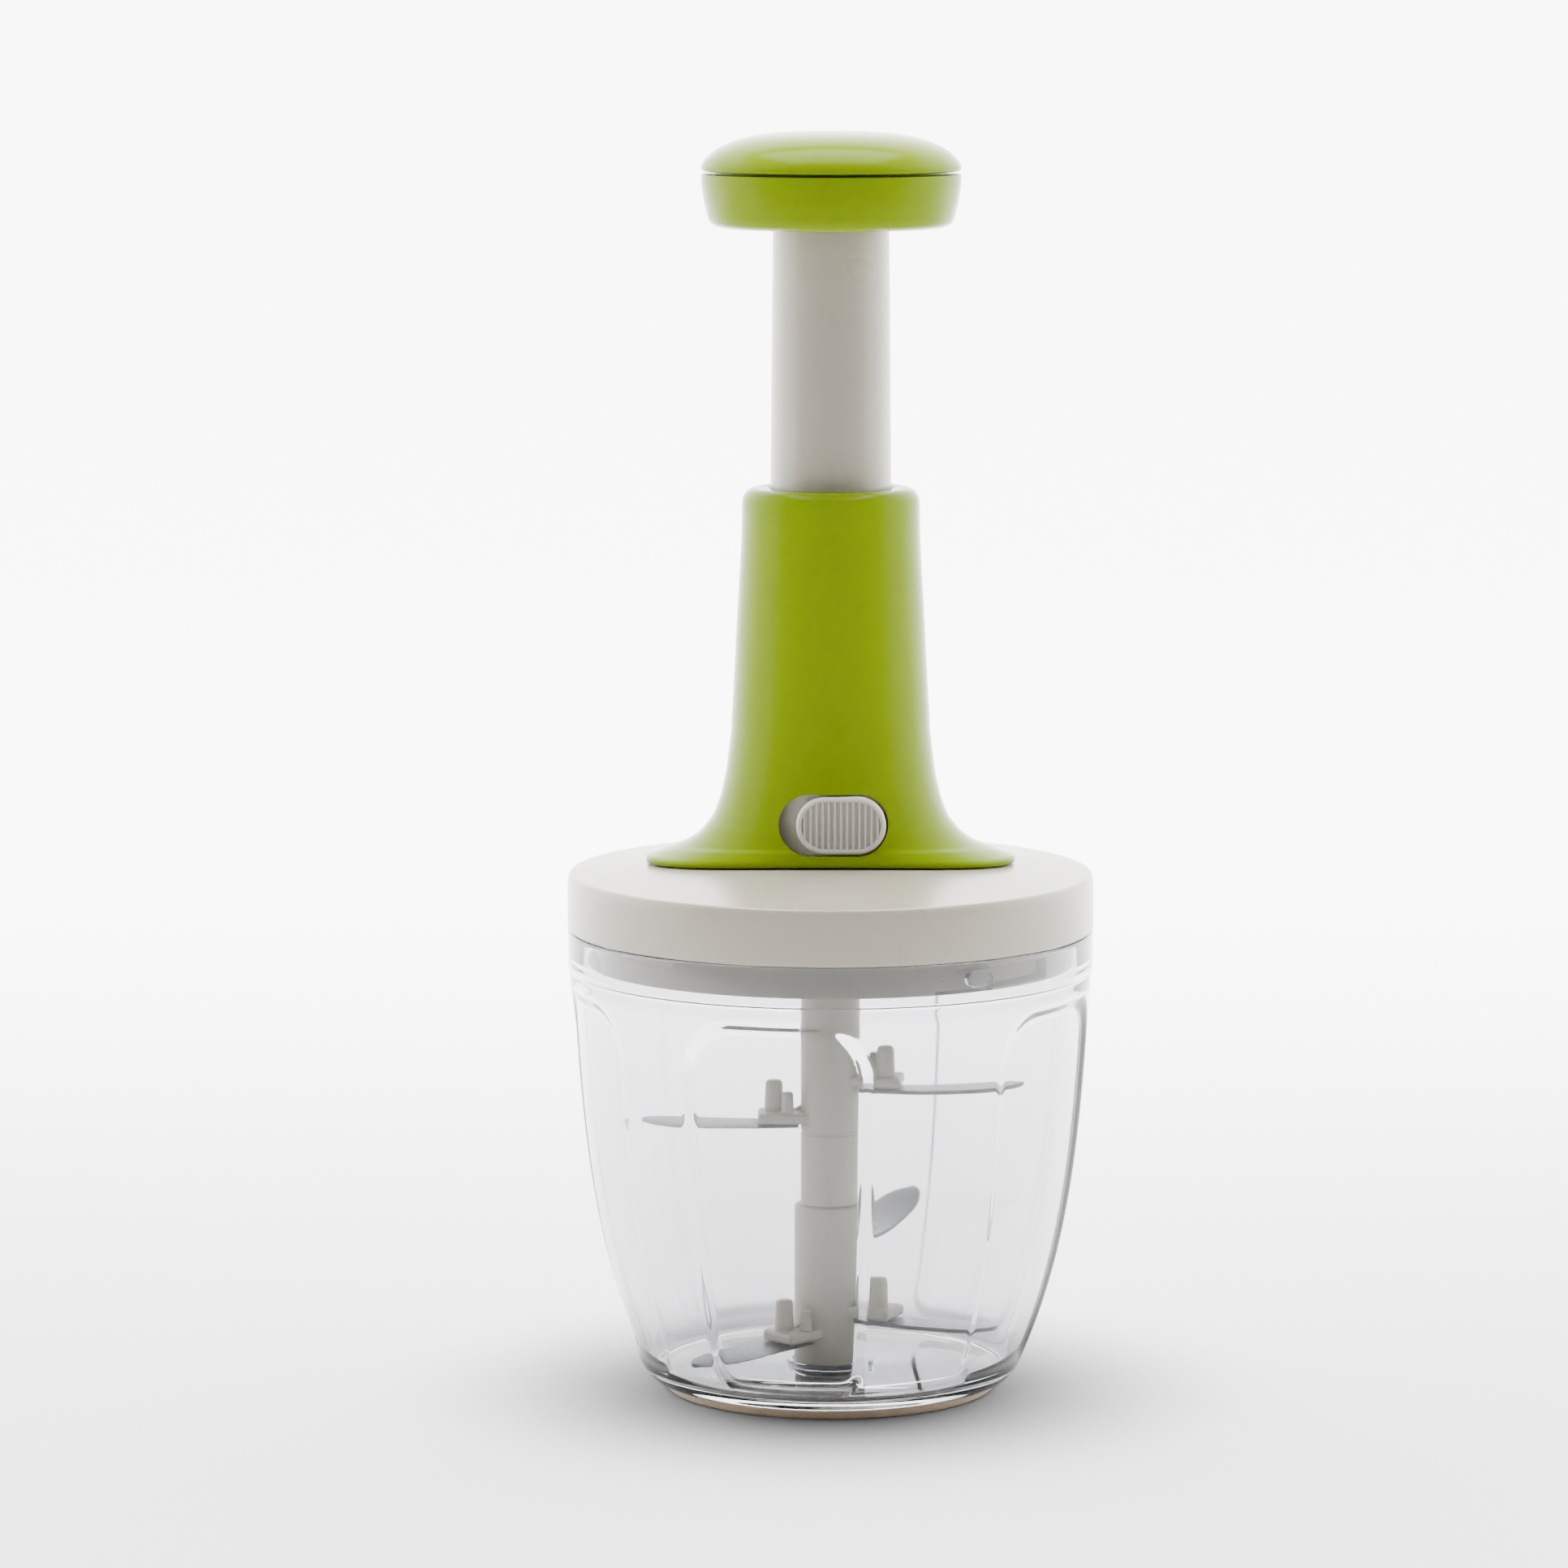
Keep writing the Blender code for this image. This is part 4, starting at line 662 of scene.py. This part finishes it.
def make_knob():
    """Green palm knob: a lower half with the tube's socket, and a hollow domed cap on it."""
    low, split, radius = KNOB_LOW, CAP_LOW - 0.6, KNOB_RADIUS
    side = flowing([
        (radius - 4.6, low + 0.5), (radius - 2.7, low + 1.3), (radius - 1.8, low + 2.6),
        (radius - 1.25, low + 4.6), (radius - 0.65, low + 7.3), (radius - 0.15, low + 10.8),
        (radius, split - 0.5)], 5)
    core, socket, counterbore = radius - 3.6, 14.7, 4.2
    base = [(socket, low)] + side
    base += [(radius - 0.1, split - 0.15), (radius - 0.6, split), (core, split), (core, split + 1.6),
             (core - 9, split + 4.4), (counterbore, split + 5.0), (counterbore, split - 0.8),
             (SCREW_HOLE, split - 0.8), (SCREW_HOLE, TUBE_TOP + 0.3), (socket, TUBE_TOP + 0.3)]
    piece("knob_lower", turned(base, ROUND), GREEN, "plunger", ["knob_base"], 50)
    height = CAP_TOP - CAP_LOW
    dome = []
    steps = 40
    for step in range(steps):
        turn = math.pi / 2 * step / steps
        z = CAP_LOW + 0.8 + (height - 0.8) * math.sin(turn) ** 1.25
        dome.append((radius * math.cos(turn) ** 0.62, z))
    cap = [(radius - 0.7, CAP_LOW), (radius - 0.15, CAP_LOW + 0.25)] + dome + [(0, CAP_TOP)]
    cap += [(0, CAP_LOW + 6.4), (radius * 0.62, CAP_LOW + 5.5), (radius - 3.4, CAP_LOW + 2.6),
            (radius - 2.9, CAP_LOW)]
    piece("knob_upper", turned(cap, ROUND), GREEN, "plunger", ["knob_cap"], 50)


# ---------------------------------------------------------------- drive

def make_spring():
    """Return spring: a round wire coil with closed ends."""
    turns, wire, radius = 8.5, 0.6, 8.5
    steps, sides = round(turns * 40), 10
    low, high = SPRING_LOW + wire, SPRING_TOP - wire
    rings = []
    for step in range(steps + 1):
        share = step / steps
        angle = 2 * math.pi * turns * share
        z = low + (high - low) * step_share(share) * 0.35 + (high - low) * share * 0.65
        out = Vector((math.cos(angle), math.sin(angle), 0))
        ring = []
        for side in range(sides):
            turn = 2 * math.pi * side / sides
            point = out * (radius + wire * math.cos(turn)) + Vector((0, 0, z + wire * math.sin(turn)))
            ring.append(tuple(point))
        rings.append(ring)
    spring = piece("spring_coil", lofted(rings), SPRING_STEEL, "lid", ["return_spring"])
    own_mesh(spring)


def dress_inner_pieces():
    """Pieces whose shape is right keep it and get a finished material."""
    finishes = {
        NYLON: ["bearing_plate", "neck_bush", "drive_nut", "thrust_cup", "clutch_driver", "spring_seat",
                "lock_latch"],
        IVORY: ["output_hub"],
        WHITE: ["guide_sleeve"],
        SILICONE: ["lid_gasket"],
        SCREW_STEEL: ["spiral_rod", "knob_screw", "plate_screw_left", "plate_screw_right",
                      "housing_screw_left", "housing_screw_right"],
    }
    for material, nodes in finishes.items():
        for node in nodes:
            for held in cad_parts[node].material_slots:
                held.material = material


# ---------------------------------------------------------------- blades

UPPER_SHAFT, LOWER_SHAFT = 7.35, 8.9
ARM_REACH = 18.0
BLADE_THICK = 1.0
BLADE_WIDTH = 12.5
BLADE_SHOULDER = 0.72          # share of a blade's length where its rounded tip starts
# height of a blade's underside, direction in degrees, reach, and rise of the tip
UPPER_BLADES = ((74.5, -8.0, 48.5, 2.6), (65.0, 180.0, 47.0, 0.6))
LOWER_BLADES = ((34.0, 66.0, 46.0, 7.0), (17.0, -25.0, 46.0, 1.5), (11.5, 222.0, 41.5, -1.6))


def make_shaft():
    """Ivory shaft in two lengths: the upper one plugs into the thicker lower one."""
    upper, lower, split = UPPER_SHAFT, LOWER_SHAFT, SHAFT_SPLIT
    plug, top, top_radius = 5, HUB_LOW + 12.7, 4.6
    outline = softened([
        (0, split - 10), (plug, split - 10, 0.5), (plug, split + 0.3), (upper, split + 0.3, 0.3),
        (upper, split + 17.9, 0.2), (upper - 0.3, split + 18.1, 0.1), (upper - 0.3, split + 18.6, 0.1),
        (upper, split + 18.8, 0.2), (upper, HUB_LOW - 0.3, 0.5), (top_radius, HUB_LOW - 0.3, 0.3),
        (top_radius, top, 0.5), (0, top)])
    piece("shaft_upper", turned(outline, NEAT), IVORY, "blade_unit", ["blade_shaft_upper"])
    low = span("blade_shaft_lower", 2)[0]
    pivot, pivot_top = 3.4, low + 13.9
    outline = softened([
        (pivot, low, 0.2), (lower, low, 1.2), (lower, split, 0.7), (5.3, split, 0.2), (5.3, split - 10.3),
        (0, split - 10.3), (0, pivot_top), (pivot, pivot_top)])
    piece("shaft_lower", turned(outline, NEAT), IVORY, "blade_unit", ["blade_shaft_lower"])


def make_peg(name, x, y, low, height, radius, direction):
    """A tapered peg with a round top."""
    high = low + height
    outline = softened([(0, low), (radius * 1.04, low), (radius * 0.92, high, radius * 0.6), (0, high)], 8)
    bm = turned(outline, 40)
    bmesh.ops.translate(bm, vec=(x, y, 0), verts=bm.verts)
    piece(name, spun(bm, direction), IVORY, "blade_unit")


def make_arm(number, blade, shaft_radius):
    """The arm that holds a blade: a flat bar with two pegs and a gusset."""
    underside, direction, _, _ = blade
    low = underside + BLADE_THICK + 0.3
    high = low + 2.6
    half = 5.25
    bm = spun(block((shaft_radius - 2.5, -half, low), (ARM_REACH, half, high)), direction)
    bevelled(piece("arm_" + number, bm, IVORY, "blade_unit"), 0.8, 4)
    make_peg("peg_tall_" + number, ARM_REACH - 4.0, -1.5, high - 0.5, 8.1, 2.3, direction)
    make_peg("peg_short_" + number, ARM_REACH - 7.4, 2.6, high - 0.5, 5.7, 1.5, direction)
    back, front = shaft_radius - 1.5, shaft_radius + 2.6
    gusset = lofted([[(back, y, high - 0.4), (back, y, high + 2.2), (front, y, high - 0.4)] for y in (-2.2, -0.8)])
    piece("gusset_" + number, spun(gusset, direction), IVORY, "blade_unit")


def blade_half_width(share):
    """Half width of a blade at a share of its length."""
    if share < BLADE_SHOULDER:
        return BLADE_WIDTH / 2 * (0.72 + 0.28 * math.sin(math.pi * share / BLADE_SHOULDER / 2))
    return BLADE_WIDTH / 2 * math.sqrt(max(1 - ((share - BLADE_SHOULDER) / 0.28) ** 2, 0.0))


def make_blade(number, blade, shaft_radius):
    """Steel blade: a ground bevel on the cutting edge, shallow scallops, and a bent tip."""
    underside, direction, reach, rise = blade
    root = shaft_radius + 0.5
    steps = 90
    rings = []
    for step in range(steps + 1):
        share = step / steps
        x = root + (reach - root) * share
        half = max(blade_half_width(share), 0.35)
        sweep = -12.0 * max(share - 0.5, 0) ** 2
        lift = rise * max((x - ARM_REACH) / (reach - ARM_REACH), 0) ** 2
        scallop = 0.35 * abs(math.sin(math.pi * share * 9)) if 0.3 < share < 0.9 else 0.0
        low, thick = underside + lift, BLADE_THICK
        edge = sweep + half - scallop
        grind = min(2.6, half)
        section = ((sweep - half, low + 0.1), (sweep - half + 0.1, low), (edge - grind, low),
                   (edge, low + thick * 0.42), (edge, low + thick * 0.58), (edge - grind, low + thick),
                   (sweep - half + 0.1, low + thick), (sweep - half, low + thick - 0.1))
        rings.append([(x, y, z) for y, z in section])
    piece("blade_leaf_" + number, spun(lofted(rings), direction), BLADE_STEEL, "blade_unit",
          ["blade_" + number], 18)


def make_blades():
    count = 0
    for blades, radius in ((UPPER_BLADES, UPPER_SHAFT), (LOWER_BLADES, LOWER_SHAFT)):
        for blade in blades:
            count += 1
            make_arm(str(count), blade, radius)
            make_blade(str(count), blade, radius)


# ---------------------------------------------------------------- studio

def make_camera():
    """The photograph's view: a long lens, 1.5 m away, looking a little down."""
    data = bpy.data.cameras.new("camera")
    data.sensor_width = 36.0
    data.lens = 140.74
    data.clip_end = 20.0
    camera = bpy.data.objects.new("camera", data)
    camera.location = (-0.0115, -1.500, 0.3494)
    camera.rotation_euler = (math.radians(82.455), 0.0, 0.0)
    bpy.context.scene.collection.objects.link(camera)
    bpy.context.scene.camera = camera


def smooth_range(tree, value, low, high, first=0.0, last=1.0):
    """A smooth change from first to last as a value goes from low to high."""
    node = tree.nodes.new("ShaderNodeMapRange")
    node.interpolation_type = "SMOOTHSTEP"
    node.inputs["From Min"].default_value = low
    node.inputs["From Max"].default_value = high
    node.inputs["To Min"].default_value = first
    node.inputs["To Max"].default_value = last
    tree.links.new(value, node.inputs["Value"])
    return node.outputs["Result"]


def mixed(tree, share, first, second):
    """A plain colour that gives way to a linked one."""
    node = tree.nodes.new("ShaderNodeMix")
    node.data_type = "RGBA"
    node.inputs["A"].default_value = (*first, 1)
    tree.links.new(share, node.inputs["Factor"])
    tree.links.new(second, node.inputs["B"])
    return node.outputs["Result"]


def backdrop_material():
    """Pale paper that glows behind the object, with painted shade in front of it and a painted shadow at its foot.
    """
    made, tree, shader = node_material("backdrop")
    paper = blended(tree, noise(tree, 3.0), (0.87, 0.87, 0.87), (0.89, 0.89, 0.89))
    shader.inputs["Roughness"].default_value = 0.9
    shader.inputs["Specular IOR Level"].default_value = 0.1
    shader.inputs["Emission Color"].default_value = (1, 1, 1, 1)
    where = tree.nodes.new("ShaderNodeTexCoord")
    split = tree.nodes.new("ShaderNodeSeparateXYZ")
    away = tree.nodes.new("ShaderNodeVectorMath")
    away.operation = "LENGTH"
    tree.links.new(where.outputs["Object"], split.inputs["Vector"])
    tree.links.new(where.outputs["Object"], away.inputs[0])
    glow = smooth_range(tree, split.outputs["Y"], 0.0, 0.9, 0.0, 4.8)
    # painted shade: the paper in front of the object turns dark grey, which keeps light off the object's front
    front = smooth_range(tree, split.outputs["Y"], -0.9, -0.15)
    # painted shadow: the paper round the object's foot turns darker still
    painted_shadow = smooth_range(tree, away.outputs["Value"], 0.030, 0.115)
    colour = mixed(tree, front, (0.22, 0.22, 0.22), paper)
    colour = mixed(tree, painted_shadow, (0.15, 0.15, 0.15), colour)
    tree.links.new(colour, shader.inputs["Base Color"])
    tree.links.new(glow, shader.inputs["Emission Strength"])
    return made


def make_floor():
    """A pale round floor that curves up into a wall all the way round."""
    flat, bend, top, thick, steps = 1400.0, 600.0, 2400.0, 2.0, 12
    line = [(0, -thick), (0, 0), (flat, 0)]
    for step in range(1, steps + 1):
        turn = step * math.pi / (2 * steps)
        line.append((flat + bend * math.sin(turn), bend - bend * math.cos(turn)))
    wall = flat + bend
    line += [(wall, top), (wall + thick, top), (wall + thick, -thick)]
    bm = turned(line, ROUND)
    floor = placed("backdrop", bm, backdrop_material(), 60)


def soft_box(name, place, target, width, height, power):
    """A rectangular lamp that faces a point."""
    data = bpy.data.lights.new(name, "AREA")
    data.shape = "RECTANGLE"
    data.size, data.size_y = width, height
    data.energy = power
    lamp = bpy.data.objects.new(name, data)
    lamp.location = place
    lamp.rotation_euler = (Vector(target) - Vector(place)).to_track_quat("-Z", "Y").to_euler()
    bpy.context.scene.collection.objects.link(lamp)


def make_lights():
    middle = (0, 0, 0.15)
    soft_box("left_box", (-1.2, -0.1, 0.5), middle, 0.7, 1.2, 5)
    soft_box("right_box", (1.2, -0.1, 0.5), middle, 0.7, 1.2, 4)
    soft_box("top_box", (0, 0.2, 1.5), (0, 0.1, 0), 1.2, 1.0, 66)
    world = bpy.data.worlds.new("studio")
    world.use_nodes = True
    world.node_tree.nodes["Background"].inputs["Color"].default_value = (1, 1, 1, 1)
    world.node_tree.nodes["Background"].inputs["Strength"].default_value = 0.06
    bpy.context.scene.world = world


def main():
    make_camera()
    make_bowl()
    make_base_ring()
    make_lid()
    make_housing()
    make_track()
    make_button()
    make_tube()
    make_knob()
    make_spring()
    dress_inner_pieces()
    make_shaft()
    make_blades()
    make_floor()
    make_lights()


main()
